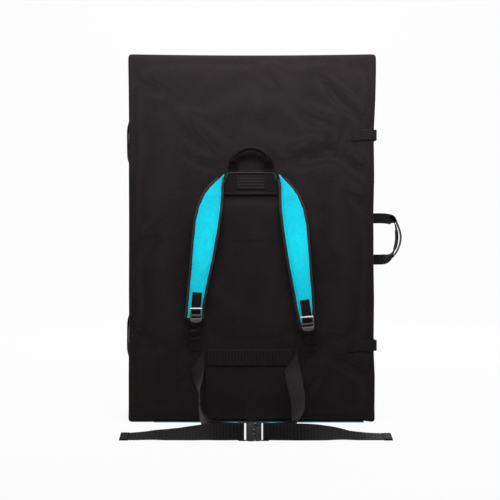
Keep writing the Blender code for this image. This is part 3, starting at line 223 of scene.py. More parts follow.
def pack_cloth(name, deep, high, thread, sheen, roughness):
    """Plain-woven nylon: two sets of round threads, a soft sheen and slightly uneven dye."""
    material, tree, shader = new_material(name)
    place = add_node(tree, "ShaderNodeTexCoord").outputs["Object"]
    uneven = add_node(tree, "ShaderNodeTexNoise", {"Vector": place, "Scale": 1 / (45 * mm), "Detail": 5})
    grain = add_node(tree, "ShaderNodeTexNoise", {"Vector": place, "Scale": 1 / (2.6 * mm), "Detail": 3})
    waves = [
        add_node(tree, "ShaderNodeTexWave", {"Vector": place, "Scale": wave_scale(thread), "Distortion": 0.8,
                                             "Detail": 1.0, "Detail Scale": 0.6}, bands_direction=way)
        for way in "XYZ"
    ]
    pair = add_node(tree, "ShaderNodeMath", {0: waves[0].outputs["Fac"], 1: waves[1].outputs["Fac"]},
                    operation="ADD")
    weave = add_node(tree, "ShaderNodeMath", {0: pair.outputs[0], 1: waves[2].outputs["Fac"]},
                     operation="ADD")
    fine = add_node(tree, "ShaderNodeMath", {0: weave.outputs[0], 1: 0.16}, operation="MULTIPLY")
    dye = add_node(tree, "ShaderNodeMath", {0: uneven.outputs["Fac"], 1: 0.35, 2: fine.outputs[0]},
                   operation="MULTIPLY_ADD")
    dyed = add_node(tree, "ShaderNodeMath", {0: dye.outputs[0], 1: grain.outputs["Fac"]}, operation="ADD")
    level = add_node(tree, "ShaderNodeMapRange", {0: dyed.outputs[0], "From Min": 0.45, "From Max": 1.35})
    tone = add_node(tree, "ShaderNodeMix", {0: level.outputs[0], 6: linear_colour(deep),
                                            7: linear_colour(high)}, data_type="RGBA")
    matt = add_node(tree, "ShaderNodeMapRange", {0: grain.outputs["Fac"], "To Min": roughness - 0.08,
                                                 "To Max": roughness + 0.08})
    threads = add_node(tree, "ShaderNodeBump", {"Height": weave.outputs[0], "Strength": 0.35,
                                                "Distance": 0.25 * mm})
    slubs = add_node(tree, "ShaderNodeBump", {"Height": grain.outputs["Fac"], "Strength": 0.35,
                                              "Distance": 0.5 * mm, "Normal": threads.outputs[0]})
    lead_in(tree, shader, tone, matt, slubs)
    shader.inputs["IOR"].default_value = 1.53
    shader.inputs["Specular IOR Level"].default_value = 0.06
    shader.inputs["Sheen Weight"].default_value = sheen
    shader.inputs["Sheen Roughness"].default_value = 0.45
    return material


# The cloth's thread spacing is about 0.8 mm; it is drawn at 1.6 mm so that it shows.
cover_cloth = pack_cloth("black_coated_nylon_pack_cloth", "#090506", "#252021", 1.6 * mm, 0.05, 0.74)


def crown(x, z):
    """How far a cushion's face stands out beyond its edges."""
    across = x / pad_half
    up = z / (pad_height / 2) - 1
    return face_crown * (1 - across ** 2) * (1 - up ** 2)


def wall_x(z):
    """Half the pad's width at one height."""
    up = z / (pad_height / 2) - 1
    return pad_half - side_draw * (1 - up ** 2)


def on_face(x, z, lift):
    """A place in front of the near cushion's face."""
    return Vector((x, face_y - crown(x, z) - lift, z))


def rounded_block(name, low, high, cell, radius, material):
    """A closed block with rounded edges, whose cells lie closer together near them."""
    lines = []
    for a, b in zip(low, high):
        inner = max(2, round((b - a - 2 * radius) / cell))
        near = [radius * share for share in (0, 0.3, 0.62, 1)]
        middle = [a + radius + (b - a - 2 * radius) * i / inner for i in range(1, inner)]
        lines.append([a + d for d in near] + middle + [b - d for d in reversed(near)])
    shape = bmesh.new()
    last = [len(line) - 1 for line in lines]
    made = {}

    def corner(ijk):
        if ijk not in made:
            made[ijk] = shape.verts.new([line[i] for line, i in zip(lines, ijk)])
        return made[ijk]

    for axis in range(3):
        one, two = (k for k in range(3) if k != axis)
        for side in (0, last[axis]):
            for i in range(last[one]):
                for j in range(last[two]):
                    ring = []
                    for a, b in ((0, 0), (1, 0), (1, 1), (0, 1)):
                        ijk = [side] * 3
                        ijk[one] = i + a
                        ijk[two] = j + b
                        ring.append(corner(tuple(ijk)))
                    shape.faces.new(ring)
    bmesh.ops.recalc_face_normals(shape, faces=shape.faces[:])
    for vert in shape.verts:
        core = Vector([min(max(c, a + radius), b - radius) for c, a, b in zip(vert.co, low, high)])
        out = vert.co - core
        if out.length > 0:
            vert.co = core + out.normalized() * radius
    return as_piece(name, shape, material)


def fold_line(x, z, line):
    """How far one soft fold lifts the cloth at a place: a ridge and a hollow, faded at both ends."""
    x0, z0, x1, z1, depth, wide = (value * mm for value in line)
    run = Vector((x1 - x0, z1 - z0))
    at = Vector((x - x0, z - z0))
    share = max(0, min(1, at.dot(run) / run.length_squared))
    gap = (at - run * share).length
    side = 1 if run[0] * at[1] - run[1] * at[0] > 0 else -1
    fade = math.sin(math.pi * min(1, max(0.02, 0.1 + share * 0.85)))
    bend = noise.noise(Vector((x / (50 * mm), z / (50 * mm), 3.1))) * 0.35
    d = gap * side / wide + bend
    return depth * fade * (math.exp(-(d - 0.8) ** 2) - 1.1 * math.exp(-(d + 0.5) ** 2))


# in mm, on the face: where each fold starts and ends, its depth and its half width
near_folds = (
    (175, 829, 279, 722, 2.2, 13), (66, 626, 245, 690, 2, 22), (-170, 735, -66, 622, 1.4, 20),
    (105, 760, 235, 702, 1, 14), (200, 655, 290, 600, 1.6, 16), (230, 560, 292, 520, 1.2, 14),
    (180, 170, 285, 120, 1.6, 16), (190, 215, 240, 190, 1, 10), (-290, 230, -200, 180, 1.2, 18),
    (-292, 420, -215, 470, 1, 18), (-150, 640, -70, 612, 1.2, 12), (-280, 840, -190, 790, 1, 16),
    (20, 860, 80, 800, 0.9, 20), (-180, 90, -120, 150, 1, 14), (120, 60, 170, 130, 1, 14),
    (-55, 438, 50, 436, 0.6, 6),
)
far_folds = (
    (-250, 780, -120, 700, 1.8, 20), (240, 700, 120, 640, 1.8, 20), (-270, 300, -150, 240, 1.6, 18),
    (250, 200, 140, 280, 1.6, 18), (0, 500, 120, 470, 0.8, 25), (-100, 120, 20, 160, 1, 20),
)
# in mm: left, right, bottom and top of what is sewn flat on the near face, where the cloth can't stand out
sewn_places = (
    (-67, 61, 545, 615), (-115, 102, 5, 182), (236, 300, 676, 712), (228, 300, 167, 203),
    (-152, -118, 170, 200), (132, 164, 170, 200),
)
sewn_fade = 14 * mm


def slack(x, z, folds, seed):
    """How far the cover's face stands out or in from its plain crown, with a dent along its sewn edge."""
    soft = noise.noise(Vector((x / (110 * mm), z / (110 * mm), seed))) * 0.9 * mm
    soft += noise.noise(Vector((x / (35 * mm), z / (35 * mm), seed + 5))) * 0.22 * mm
    soft += 1.6 * sum(fold_line(x, z, line) for line in folds)
    edge = min(pad_half - abs(x), z, pad_height - z)
    along = z if pad_half - abs(x) < min(z, pad_height - z) else x
    pucker = noise.noise(Vector((along / (14 * mm), seed, 0))) * 0.5 * mm
    soft = soft * min(1, edge / (30 * mm)) + pucker * math.exp(-(edge / (12 * mm)) ** 2)
    return soft - 0.9 * mm * math.exp(-((edge - 10.5 * mm) / (1.8 * mm)) ** 2)


def sewn_share(x, z):
    """1 on a sewn place, fading to 0 beyond its edge."""
    nearest = 1.0
    for place in sewn_places:
        left, right, low, high = (value * mm for value in place)
        gap = math.hypot(max(left - x, 0, x - right), max(low - z, 0, z - high))
        nearest = min(nearest, gap / sewn_fade)
    return 1 - nearest


def recess_share(x):
    """How far the near cushion's bottom edge is raised over the flap."""
    inside = min(x - flap_left, flap_right + 11 * mm - x) / (6 * mm)
    return max(0, min(1, inside))


# in mm: how far the near cushion's front edge stands out at each height, at the left and at the right
left_bulges = (
    (0, 1.2), (30, 0.8), (110, 1.9), (240, 2.0), (330, 2.9), (470, 2.7), (600, 2.9), (720, 1.6), (800, 1.5),
    (870, 1.6), (890, 1.0),
)
right_bulges = (
    (0, 1.0), (30, 0.4), (110, 2.2), (160, 0.3), (185, 0.0), (215, 0.4), (300, 2.0), (385, 0.6), (443, 0.8),
    (500, 0.2), (590, 2.4), (650, 1.2), (694, 0.0), (730, 1.6), (780, 3.6), (850, 4.4), (890, 3.4),
)


def edge_bulge(x, z, share):
    """The near cushion's edge stands out a little, most at its front."""
    heights, reaches = zip(*(right_bulges if x > 0 else left_bulges))
    near_edge = max(0, abs(x) / pad_half - 0.9) / 0.1
    return np.interp(z / mm, heights, reaches) * mm * max(0, min(1, (share - 0.55) / 0.35)) * near_edge


# the cover is a wall up to this share of the cushion's depth, and its face lies beyond
wall_share = 0.9


def dress_cushion(piece, outward, landing_y, folds, seed):
    """Draws the walls in, crowns the face and lays the cover's slack and seams."""
    for vert in piece.data.vertices:
        x, y, z = vert.co
        depth = (y - landing_y) * outward / half_depth
        z -= side_draw * (1 - (x / pad_half) ** 2) * z / pad_height
        x *= wall_x(z) / pad_half
        out = crown(x, z) * max(0, depth) ** 2
        if outward < 0 and z < recess_fade:
            z += flap_recess * recess_share(x) * (1 - z / recess_fade)
        if depth > wall_share:
            loose = slack(x, z, folds, seed) * min(1, (depth - wall_share) / (1 - wall_share))
            if outward < 0:
                held = sewn_share(x, z)
                loose = loose * (1 - held) + min(loose, -0.1 * mm) * held
            out += loose
        else:
            sway = abs(noise.noise(Vector((z / (70 * mm), x / (70 * mm), seed + 9)))) * 1.2 * mm
            if abs(x) > pad_half - 2 * edge_radius:
                x -= math.copysign(sway * math.sin(math.pi * max(0, depth)), x)
        if outward < 0:
            x += math.copysign(edge_bulge(x, z, depth), x)
        vert.co = (x, y + outward * out, z)


# the cover is held up to this far from its edges, is free from this far, and starts smaller further in
held_edge = 10 * mm
free_edge = 22 * mm
start_smaller = 1.7 * mm
smaller_fade = 110 * mm
# how far it may settle outwards and inwards from the shape it was dressed in
settled_out = 0.7 * mm
settled_in = 2.2 * mm
last_frame = 20


def settle_cover(piece, outward, landing_y):
    """Simulates the cover as cloth pressed out by the foam and held at its seams and sewn places. It starts
    a little smaller, swells back, and ends nowhere further than a cap from the shape it was dressed in."""
    dressed = [vert.co.copy() for vert in piece.data.vertices]
    seams = piece.vertex_groups.new(name="seams")
    for vert in piece.data.vertices:
        x, y, z = vert.co
        depth = (y - landing_y) * outward / half_depth
        edge = min(pad_half - abs(x), z, pad_height - z)
        sewn = sewn_share(x, z) if outward < 0 else 0
        held = max((free_edge - edge) / (free_edge - held_edge), (0.95 - depth) / 0.05, sewn)
        held = max(0, min(1, held))
        seams.add([vert.index], held, "REPLACE")
        smaller = start_smaller * max(0, min(1, (edge - held_edge) / smaller_fade))
        vert.co[1] -= outward * smaller * (1 - held)
    cover = piece.modifiers.new("cover", "CLOTH")
    cover.settings.quality = 4
    cover.settings.mass = 0.2
    cover.settings.tension_stiffness = 12
    cover.settings.compression_stiffness = 12
    cover.settings.bending_stiffness = 0.2
    cover.settings.use_pressure = True
    cover.settings.uniform_pressure_force = 0.3
    cover.settings.vertex_group_mass = "seams"
    cover.settings.effector_weights.gravity = 0
    cover.point_cache.frame_start = 1
    cover.point_cache.frame_end = last_frame
    for step in range(1, last_frame + 1):
        scene.frame_set(step)
    settled = piece.evaluated_get(bpy.context.evaluated_depsgraph_get()).data
    moves = [vert.co - start for vert, start in zip(settled.vertices, dressed)]
    piece.modifiers.remove(cover)
    piece.vertex_groups.remove(seams)
    scene.frame_set(1)
    for vert, start, move in zip(piece.data.vertices, dressed, moves):
        cap = settled_out if move.y * outward > 0 else settled_in
        vert.co = start + move * min(1, cap / max(move.length, cap))


def sew_on(piece, body, slot, *nodes):
    """A finished piece moves with its body and stands for its CAD nodes. slot, its finish's slot, is not
    used.
    For a piece given two bodies, body is its two bodies and where it leaves the one and reaches the other;
    such a piece only has its place baked into its mesh and moves with neither."""
    if isinstance(body, tuple):
        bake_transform(piece)
    else:
        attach(piece, body)
    if nodes:
        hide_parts(*nodes)


for name, body, landing_y, outward, folds, seed in (
    ("near_cushion", "harness_half", near_landing_y, -1, near_folds, 2.3),
    ("far_cushion", "far_half", far_landing_y, 1, far_folds, 7.9),
):
    ends = sorted((landing_y + outward * landing_inset, landing_y + outward * half_depth))
    piece = rounded_block(name, (-pad_half, ends[0], 0), (pad_half, ends[1], pad_height),
                          cover_cell, edge_radius, cover_cloth)
    dress_cushion(piece, outward, landing_y, folds, seed)
    settle_cover(piece, outward, landing_y)
    finer = piece.modifiers.new("finer", "SUBSURF")
    finer.levels = 1
    finer.render_levels = 1
    sew_on(piece, body, "black_cover_cloth", body + "_cover")

# Inside each cover lie three layers of foam cut from sheet: firm closed-cell foam under the landing
# cloth and behind the face, and a thick soft open-cell core between them, glued together.
foam_trim = 5 * mm


def foam_stuff(name, deep, high, cell, depth):
    """Cut foam: round cells with painted shade in their pits, a matt skin between them."""
    material, tree, shader = new_material(name)
    place = add_node(tree, "ShaderNodeTexCoord").outputs["Object"]
    cells = add_node(tree, "ShaderNodeTexVoronoi", {"Vector": place, "Scale": 1 / cell}, feature="SMOOTH_F1")
    tint = add_node(tree, "ShaderNodeTexNoise", {"Vector": place, "Scale": 1 / (30 * mm), "Detail": 3})
    # painted shade: the colour is darkest at each cell's middle, where the bump makes its pit
    level = add_node(tree, "ShaderNodeMath", {0: cells.outputs["Distance"], 1: tint.outputs["Fac"]},
                     operation="MULTIPLY_ADD")
    level.inputs[2].default_value = 0.2
    tone = add_node(tree, "ShaderNodeMix", {0: level.outputs[0], 6: linear_colour(deep),
                                            7: linear_colour(high)}, data_type="RGBA")
    pits = add_node(tree, "ShaderNodeBump", {"Height": cells.outputs["Distance"], "Strength": 0.5,
                                             "Distance": depth})
    matt = add_node(tree, "ShaderNodeMapRange", {0: tint.outputs["Fac"], "To Min": 0.85, "To Max": 1.0})
    lead_in(tree, shader, tone, matt, pits)
    return material


# The closed cells are about 0.5 mm wide and the open ones 1 mm; both are drawn twice as wide to show.
firm_foam = foam_stuff("closed_cell_polyethylene_foam", "#39464B", "#56656B", 1.0 * mm, 0.15 * mm)
soft_foam = foam_stuff("open_cell_polyurethane_foam", "#C4B98C", "#E2D9B4", 2.0 * mm, 0.5 * mm)

for label, body in (("near", "harness_half"), ("far", "far_half")):
    for layer, stuff, slot in (("landing_foam", firm_foam, "closed_cell_foam"),
                               ("core_foam", soft_foam, "open_cell_foam"),
                               ("base_foam", firm_foam, "closed_cell_foam")):
        low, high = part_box(body + "_" + layer)
        trim = Vector((foam_trim, 0.6 * mm, foam_trim))
        if layer == "base_foam":
            trim[1] = foam_trim / 2
        piece = rounded_block(label + "_" + layer, low + trim, high - trim, 45 * mm, 1.5 * mm, stuff)
        sew_on(piece, body, slot, body + "_" + layer)

# The landing side of each cushion is a teal nylon cloth with a hem all round, sewn into the cover's
# open side. Folded shut, the two lie face to face; opened flat, they are what the climber lands on.
landing_cloth = pack_cloth("teal_coated_nylon_cloth", "#0F6F80", "#1C90A2", 1.6 * mm, 0.03, 0.68)
landing_thick = 0.8 * mm
landing_gap = 0.1 * mm
landing_trim = Vector((2 * mm, 0, 4 * mm))
for label, body, landing_y, outward in (
    ("near", "harness_half", near_landing_y, -1), ("far", "far_half", far_landing_y, 1),
):
    low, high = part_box(body + "_landing_cloth")
    ends = sorted((landing_y + outward * landing_gap, landing_y + outward * (landing_gap + landing_thick)))
    low, high = low + landing_trim, high - landing_trim
    piece = rounded_block(label + "_landing_cloth", (low[0], ends[0], low[2]), (high[0], ends[1], high[2]),
                          22 * mm, landing_thick * 0.45, landing_cloth)
    for vert in piece.data.vertices:
        vert.co[0] *= wall_x(vert.co[2]) / pad_half
    sew_on(piece, body, "teal_cloth", body + "_landing_cloth")

# Webbing and tapes are woven straps: nylon or polypropylene yarn in ribs across the strap, with a firm
# edge on each side. They are sewn down with thick polyester thread, mostly in boxes and rows.
web_wide = 25 * mm
web_thick = 1.5 * mm


def webbing_weave(name, deep, high, rib, edge, sheen, roughness):
    """Woven yarn: ribs across the strap, warp threads along it, and a colour that is paler on the ridges, in
    patches.
    """
    material, tree, shader = new_material(name)
    place = add_node(tree, "ShaderNodeUVMap", uv_map="UVMap").outputs["UV"]
    bumps = [
        add_node(tree, "ShaderNodeTexWave", {"Vector": place, "Scale": wave_scale(period), "Distortion": 1.2,
                                             "Detail": 1.0, "Detail Scale": 2.0}, bands_direction=way)
        for way, period in (("Y", rib), ("X", edge))
    ]
    uneven = add_node(tree, "ShaderNodeTexNoise", {"Vector": place, "Scale": 1 / (14 * mm), "Detail": 4})
    weave = add_node(tree, "ShaderNodeMath", {0: bumps[1].outputs["Fac"], 1: 0.45,
                                              2: bumps[0].outputs["Fac"]}, operation="MULTIPLY_ADD")
    ridge_patches = add_node(tree, "ShaderNodeMath", {0: weave.outputs[0], 1: uneven.outputs["Fac"]},
                    operation="MULTIPLY")
    level = add_node(tree, "ShaderNodeMapRange", {0: ridge_patches.outputs[0], "From Min": 0.1, "From Max": 0.9})
    tone = add_node(tree, "ShaderNodeMix", {0: level.outputs[0], 6: linear_colour(deep),
                                            7: linear_colour(high)}, data_type="RGBA")
    matt = add_node(tree, "ShaderNodeMapRange", {0: uneven.outputs["Fac"], "To Min": roughness - 0.1,
                                                 "To Max": roughness + 0.1})
    ribs = add_node(tree, "ShaderNodeBump", {"Height": weave.outputs[0], "Strength": 0.55,
                                             "Distance": 0.35 * mm})
    lead_in(tree, shader, tone, matt, ribs)
    shader.inputs["IOR"].default_value = 1.5
    shader.inputs["Specular IOR Level"].default_value = 0.08
    shader.inputs["Sheen Weight"].default_value = sheen
    shader.inputs["Sheen Roughness"].default_value = 0.4
    return material


# The yarns lie 0.6 mm apart; the ribs are drawn at 2.4 mm so that they show.
black_webbing = webbing_weave("black_polypropylene_webbing", "#0D0B0C", "#231F20", 2.4 * mm, 1.6 * mm,
                              0.08, 0.62)
sewing_thread = webbing_weave("black_polyester_thread", "#1E1A1B", "#3A3536", 0.8 * mm, 0.4 * mm, 0.1, 0.55)


def gone_along(places):
    """How far along a run each of its places lies."""
    return np.concatenate([[0], np.cumsum(np.linalg.norm(np.diff(places, axis=0), axis=1))])


def smooth_run(rows, step=4 * mm):
    """Rows at even steps along a smooth curve through rows of numbers, whose first three are a place."""
    rows = np.array([list(row) for row in rows], float)
    ends = np.vstack([2 * rows[0] - rows[1], rows, 2 * rows[-1] - rows[-2]])
    dense = []
    for a, b, c, d in zip(ends, ends[1:], ends[2:], ends[3:]):
        for t in np.linspace(0, 1, 24, endpoint=False):
            dense.append((2 * b + (c - a) * t + (2 * a - 5 * b + 4 * c - d) * t * t
                          + (3 * b - a - 3 * c + d) * t ** 3) / 2)
    dense = np.array(dense + [rows[-1]])
    gone = gone_along(dense[:, :3])
    count = max(3, int(gone[-1] / step) + 2)
    places = np.linspace(0, gone[-1], count)
    return np.array([np.interp(places, gone, column) for column in dense.T]).T


def finished(name, shape, material):
    """A mesh with outward faces as a named piece, smooth but for its sharp edges."""
    bmesh.ops.recalc_face_normals(shape, faces=shape.faces[:])
    piece = as_piece(name, shape, material)
    piece.data.set_sharp_from_angle(angle=math.radians(50))
    return piece


def skin(name, rings, material):
    """A closed body over rings of places, each with its place on the pattern."""
    shape = bmesh.new()
    pattern = shape.loops.layers.uv.new("UVMap")
    rings = [[(shape.verts.new(point), place) for point, place in ring] for ring in rings]
    count = len(rings[0])
    loops = [[rings[i][k], rings[i][(k + 1) % count], rings[i + 1][(k + 1) % count], rings[i + 1][k]]
             for i in range(len(rings) - 1) for k in range(count)]
    for corners in loops + [rings[0], rings[-1]]:
        face = shape.faces.new([vert for vert, _ in corners])
        for loop, (_, place) in zip(face.loops, corners):
            loop[pattern].uv = place
    return finished(name, shape, material)


def sweep(name, run, section, material, mitred=False):
    """A closed body along a run of places and width directions; section gives each ring's points."""
    places, sides = run[:, :3], run[:, 3:6]
    along = np.gradient(places, axis=0)
    along /= np.linalg.norm(along, axis=1)[:, None]
    if not mitred:
        sides = sides - along * (sides * along).sum(1)[:, None]
        sides /= np.linalg.norm(sides, axis=1)[:, None]
    outs = np.cross(along, sides)
    outs /= np.linalg.norm(outs, axis=1)[:, None]
    gone = gone_along(places)
    rings = [[(Vector(places[i] + sides[i] * a + outs[i] * b), (a, gone[i]))
              for a, b in section(gone[i] / gone[-1], gone[i], run[i])] for i in range(len(run))]
    piece = skin(name, rings, material)
    piece["cut_length"] = gone[-1]
    return piece


def strap_section(wide, thick, relief=None, curl=None, columns=9):
    """The section of a woven strap: flat, with rounded edges and a slight bead along each."""
    def section(share, gone, row):
        width = wide * (row[6] if len(row) > 6 else 1)
        body = thick * (row[7] if len(row) > 7 else 1)
        near = [body * 0.12, body * 0.5, body * 1.3]
        across = near + [near[-1] + (width - 2 * near[-1]) * i / columns for i in range(1, columns)]
        across += [width - d for d in reversed(near)]
        front, back = [], []
        for place in across:
            edge = min(place, width - place)
            half = body / 2 * math.sqrt(max(0, 1 - max(0, 1 - edge / (body / 2)) ** 2))
            half += body * 0.07 * math.exp(-((edge - body * 0.9) / (body * 0.5)) ** 2)
            a = place - width / 2
            lift = curl(a, gone) if curl else 0
            front.append((a, half + lift + (relief(a, gone) if relief else 0)))
            back.append((a, -half + lift))
        left = (-width / 2, curl(-width / 2, gone) if curl else 0)
        right = (width / 2, curl(width / 2, gone) if curl else 0)
        return [left] + front + [right] + back[::-1]
    return section


def webbing(name, rows, wide, thick, material, held, step=4 * mm, **shape):
    """A strap of webbing along rows of place and width direction. held, how the cloth is held, is not used.
    """
    piece = sweep(name, smooth_run(rows, step), strap_section(wide, thick, **shape), material)
    return piece


def follow_face(piece):
    """Lays a piece that was made on the plain front plane on the cushion's crowned face."""
    for vert in piece.data.vertices:
        vert.co[1] -= crown(vert.co[0], vert.co[2])


def follow_wall(piece, side):
    """Lays a piece that was made on the plain side plane on the cushion's drawn-in wall."""
    for vert in piece.data.vertices:
        vert.co[0] -= side * (pad_half - wall_x(vert.co[2]))


def box_run(left, right, low, high, crossed=False):
    """A box of sewing in X and Z, with its two diagonals if crossed."""
    corners = [(left, low), (right, low), (right, high), (left, high), (left, low)]
    return [corners] + ([[corners[0], corners[2]], [corners[1], corners[3]]] if crossed else [])


def stitch(name, body, runs, out, long=3.0 * mm, gap=1.3 * mm, thick=0.42 * mm):
    """Thread along runs of places on cloth that faces out: one small bead for each stitch."""
    shape = bmesh.new()
    out = Vector(out).normalized()
    for run in runs:
        run = np.array([list(place) for place in run], float)
        gone = gone_along(run)
        count = max(1, int(gone[-1] / (long + gap)))
        pitch = gone[-1] / count
        for i in range(count):
            start, end = (Vector([np.interp(at, gone, column) for column in run.T])
                          for at in (i * pitch, i * pitch + long))
            across = (end - start).cross(out).normalized() * thick
            middle = (start + end) / 2
            ring = [middle + across, middle + out * thick, middle - across, middle - out * thick * 0.6]
            ring = [shape.verts.new(point) for point in ring]
            for tip in (shape.verts.new(start), shape.verts.new(end)):
                for k in range(4):
                    shape.faces.new((tip, ring[k], ring[(k + 1) % 4]))
    piece = finished(name, shape, sewing_thread)
    sew_on(piece, body, "black_webbing")


def face_runs(flat_runs, lift):
    """Runs in X and Z, in short steps, as places in front of the near face."""
    runs = []
    for run in flat_runs:
        fine = []
        for (x0, z0), (x1, z1) in zip(run, run[1:]):
            steps = max(1, int(math.hypot(x1 - x0, z1 - z0) / (8 * mm)))
            fine += [(x0 + (x1 - x0) * i / steps, z0 + (z1 - z0) * i / steps) for i in range(steps)]
        fine.append(run[-1])
        runs.append([on_face(x, z, lift) for x, z in fine])
    return runs


# The spine: a cloth hinge sewn to both covers, and two low webbing handles sewn on beside it.
# A short tab of the same webbing sticks out at the left of the back.
hinge_x = -pad_half - 1 * mm
hinge_z = 445 * mm
hinge_rows = [(hinge_x, y * mm, hinge_z, 0, 0, 1) for y in (-69.5, -58, -50)]
hinge_rows += [(hinge_x - 2.2 * mm, -45.5 * mm, hinge_z, 0, 0, 1)]
hinge_rows += [(hinge_x, y * mm, hinge_z, 0, 0, 1) for y in (-41, -33, -21.5)]


def hinge_folds(a, gone):
    """The hinge cloth's small folds across the spine, deepest at its middle."""
    return 0.25 * mm * math.sin(a / (9 * mm)) * math.exp(-((gone - 24 * mm) / (12 * mm)) ** 2)


piece = webbing("spine_hinge", hinge_rows, 800 * mm, 1.1 * mm, cover_cloth, "folded", 2 * mm,
                columns=60, curl=hinge_folds)
follow_wall(piece, -1)
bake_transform(piece)
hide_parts("spine_hinge_cloth")
spine_handle_long = 119 * mm
spine_handle_bow = 6.7 * mm
spine_handle_y = -98 * mm
for label, middle in (("upper", 676.5 * mm), ("lower", 207.5 * mm)):
    low = middle - spine_handle_long / 2
    rows = []
    for share in (0, 0.08, 0.2, 0.35, 0.5, 0.65, 0.8, 0.92, 1):
        bow = spine_handle_bow * min(1, 1.5 * math.sin(math.pi * share))
        rows.append((-pad_half - 1.05 * mm - bow, spine_handle_y, low + spine_handle_long * share, 0, 1, 0))
    piece = webbing(label + "_spine_handle_webbing", rows, web_wide, web_thick, black_webbing, "hung")
    follow_wall(piece, -1)
    sew_on(piece, "harness_half", "black_webbing", label + "_spine_handle")
    runs = []
    for start in (low + 2 * mm, low + 101 * mm):
        wall = -wall_x(start) - 1.9 * mm
        for run in box_run(spine_handle_y - 11 * mm, spine_handle_y + 11 * mm, start, start + 16 * mm, True):
            runs.append([(wall, y, z) for y, z in run])
    stitch(label + "_spine_handle_sewing", "harness_half", runs, (-1, 0, 0))
tab_z = 216 * mm
tab_rows = [(x * mm, 47.2 * mm, tab_z, 0, 0, 1) for x in (-265.5, -276, -288, -298, -307)]
piece = webbing("back_tab_webbing", tab_rows, 22 * mm, 1.3 * mm, black_webbing, "stretched",
                curl=lambda a, gone: 0.25 * mm * math.sin(gone / (9 * mm)))
sew_on(piece, "far_half", "black_webbing", "back_tab")

# The flap that closes the bottom is one sheet of teal coated nylon with a folded hem. It is sewn to the
# far cushion at the fold and lies under the near one, with its front edge just past the face.
low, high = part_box("bottom_flap")
flap_low = 0.35 * mm
flap_thick = 1.1 * mm
hem_wide = 14 * mm
hem_thick = 0.4 * mm
piece = rounded_block("bottom_flap_cloth", (low[0] + 1 * mm, low[1], flap_low),
                      (high[0] - 1 * mm, high[1], flap_low + flap_thick), 9 * mm, 0.5 * mm, landing_cloth)
for vert in piece.data.vertices:
    x, y, z = vert.co
    wave = noise.noise(Vector((x / (50 * mm), y / (40 * mm), 1.7))) * 0.35 * mm
    hem = hem_thick if min(x - low[0], high[0] - x, y - low[1]) < hem_wide and z > 1 * mm else 0
    vert.co[2] = z + max(-0.1 * mm, wave) + hem
sew_on(piece, "bottom_flap", "teal_cloth", "bottom_flap")

# The yoke is a doubled patch of pack cloth that takes the load of the straps and the grab handle:
# two legs of webbing and a ribbed crossband are box-stitched on it, with piping above and tape below.
yoke_left, yoke_right = -65 * mm, 58 * mm
yoke_bottom, yoke_top = 549 * mm, 609 * mm
lift_panel = 1.4 * mm
lift_web = 3.55 * mm


def sewn_panel(name, left, right, low, high, lift, thick, material, slot, *nodes, step=3 * mm, **shape):
    """A piece of cloth or webbing sewn flat on the near face."""
    middle = (left + right) / 2
    rows = [(middle, face_y - lift, high + (low - high) * i / 4, 1, 0, 0) for i in range(5)]
    piece = webbing(name, rows, right - left, thick, material, "stretched", step, **shape)
    follow_face(piece)
    sew_on(piece, "harness_half", slot, *nodes)


def woven_ribs(depth, pitch, start=0):
    """Ribs across webbing, from this far down it."""
    return lambda a, gone: depth * math.sin(2 * math.pi * gone / pitch) if gone >= start else 0


# The legs are the blackest webbing of the harness; the crossband is rubbed a little paler.
dark_webbing = webbing_weave("deep_black_polypropylene_webbing", "#060404", "#151011", 2.4 * mm, 1.6 * mm,
                             0.02, 0.6)
worn_webbing = webbing_weave("rubbed_black_polypropylene_webbing", "#0E0C0D", "#231F20", 2.4 * mm, 1.6 * mm,
                             0.08, 0.66)
sewn_panel("yoke_patch", yoke_left, yoke_right, yoke_bottom, yoke_top, lift_panel, 2.0 * mm,
           cover_cloth, "black_cover_cloth", "yoke_panel", columns=20)
runs = box_run(yoke_left + 2.5 * mm, yoke_right - 2.5 * mm, yoke_bottom + 7 * mm, yoke_top - 11 * mm)
leg_half = 11.5 * mm
leg_bottom, leg_top = 554.5 * mm, 599.5 * mm
for label, x in (("left", -48 * mm), ("right", 43 * mm)):
    sewn_panel(label + "_yoke_leg", x - leg_half, x + leg_half, leg_bottom, leg_top, lift_web, web_thick,
               dark_webbing, "black_webbing", label + "_yoke_webbing", step=1.2 * mm,
               relief=woven_ribs(0.18 * mm, 5 * mm, 24 * mm))
    left, right = x - leg_half + 2 * mm, x + leg_half - 2 * mm
    runs += box_run(left, right, 557 * mm, 577 * mm, True)
    runs += box_run(left, right, 580 * mm, 597 * mm)
band_left, band_right = -36 * mm, 31 * mm
band_bottom, band_top = 561.5 * mm, 595.5 * mm
sewn_panel("yoke_ribbed_band", band_left, band_right, band_bottom, band_top, lift_web, web_thick,
           worn_webbing, "black_webbing", "yoke_crossband", columns=16, step=1.2 * mm,
           relief=woven_ribs(0.3 * mm, 7.2 * mm))
runs += box_run(band_left + 2 * mm, band_right - 2 * mm, band_bottom + 1.5 * mm, band_top - 1.5 * mm)
tape_rows = [(x, face_y - lift_web + 0.2 * mm, yoke_bottom + 2.5 * mm, 0, 0, 1) for x in
             (yoke_left, yoke_left * 0.5, 0, yoke_right * 0.5, yoke_right)]
piece = sweep("yoke_edge_tape", smooth_run(tape_rows, 3 * mm), strap_section(5 * mm, 1.9 * mm, columns=3),
              black_webbing)
follow_face(piece)
sew_on(piece, "harness_half", "black_webbing", "yoke_binding")
stitch("yoke_sewing", "harness_half", face_runs(runs, lift_web + 0.9 * mm), (0, -1, 0))

grey_tape = webbing_weave("grey_nylon_binding_tape", "#211C1C", "#453E3E", 1.6 * mm, 1.1 * mm, 0.15, 0.6)
# in mm: across and up
piping_places = ((-61.5, 587), (-61.3, 591), (-59.5, 597), (-54.5, 600.8), (-47, 601.5), (-4, 601.4),
                 (41, 601.5), (49, 601), (55, 597), (57.3, 590), (57.5, 583))
piping_rows = [(x * mm, face_y - 4.1 * mm, z * mm, 0, 1, 0) for x, z in piping_places]


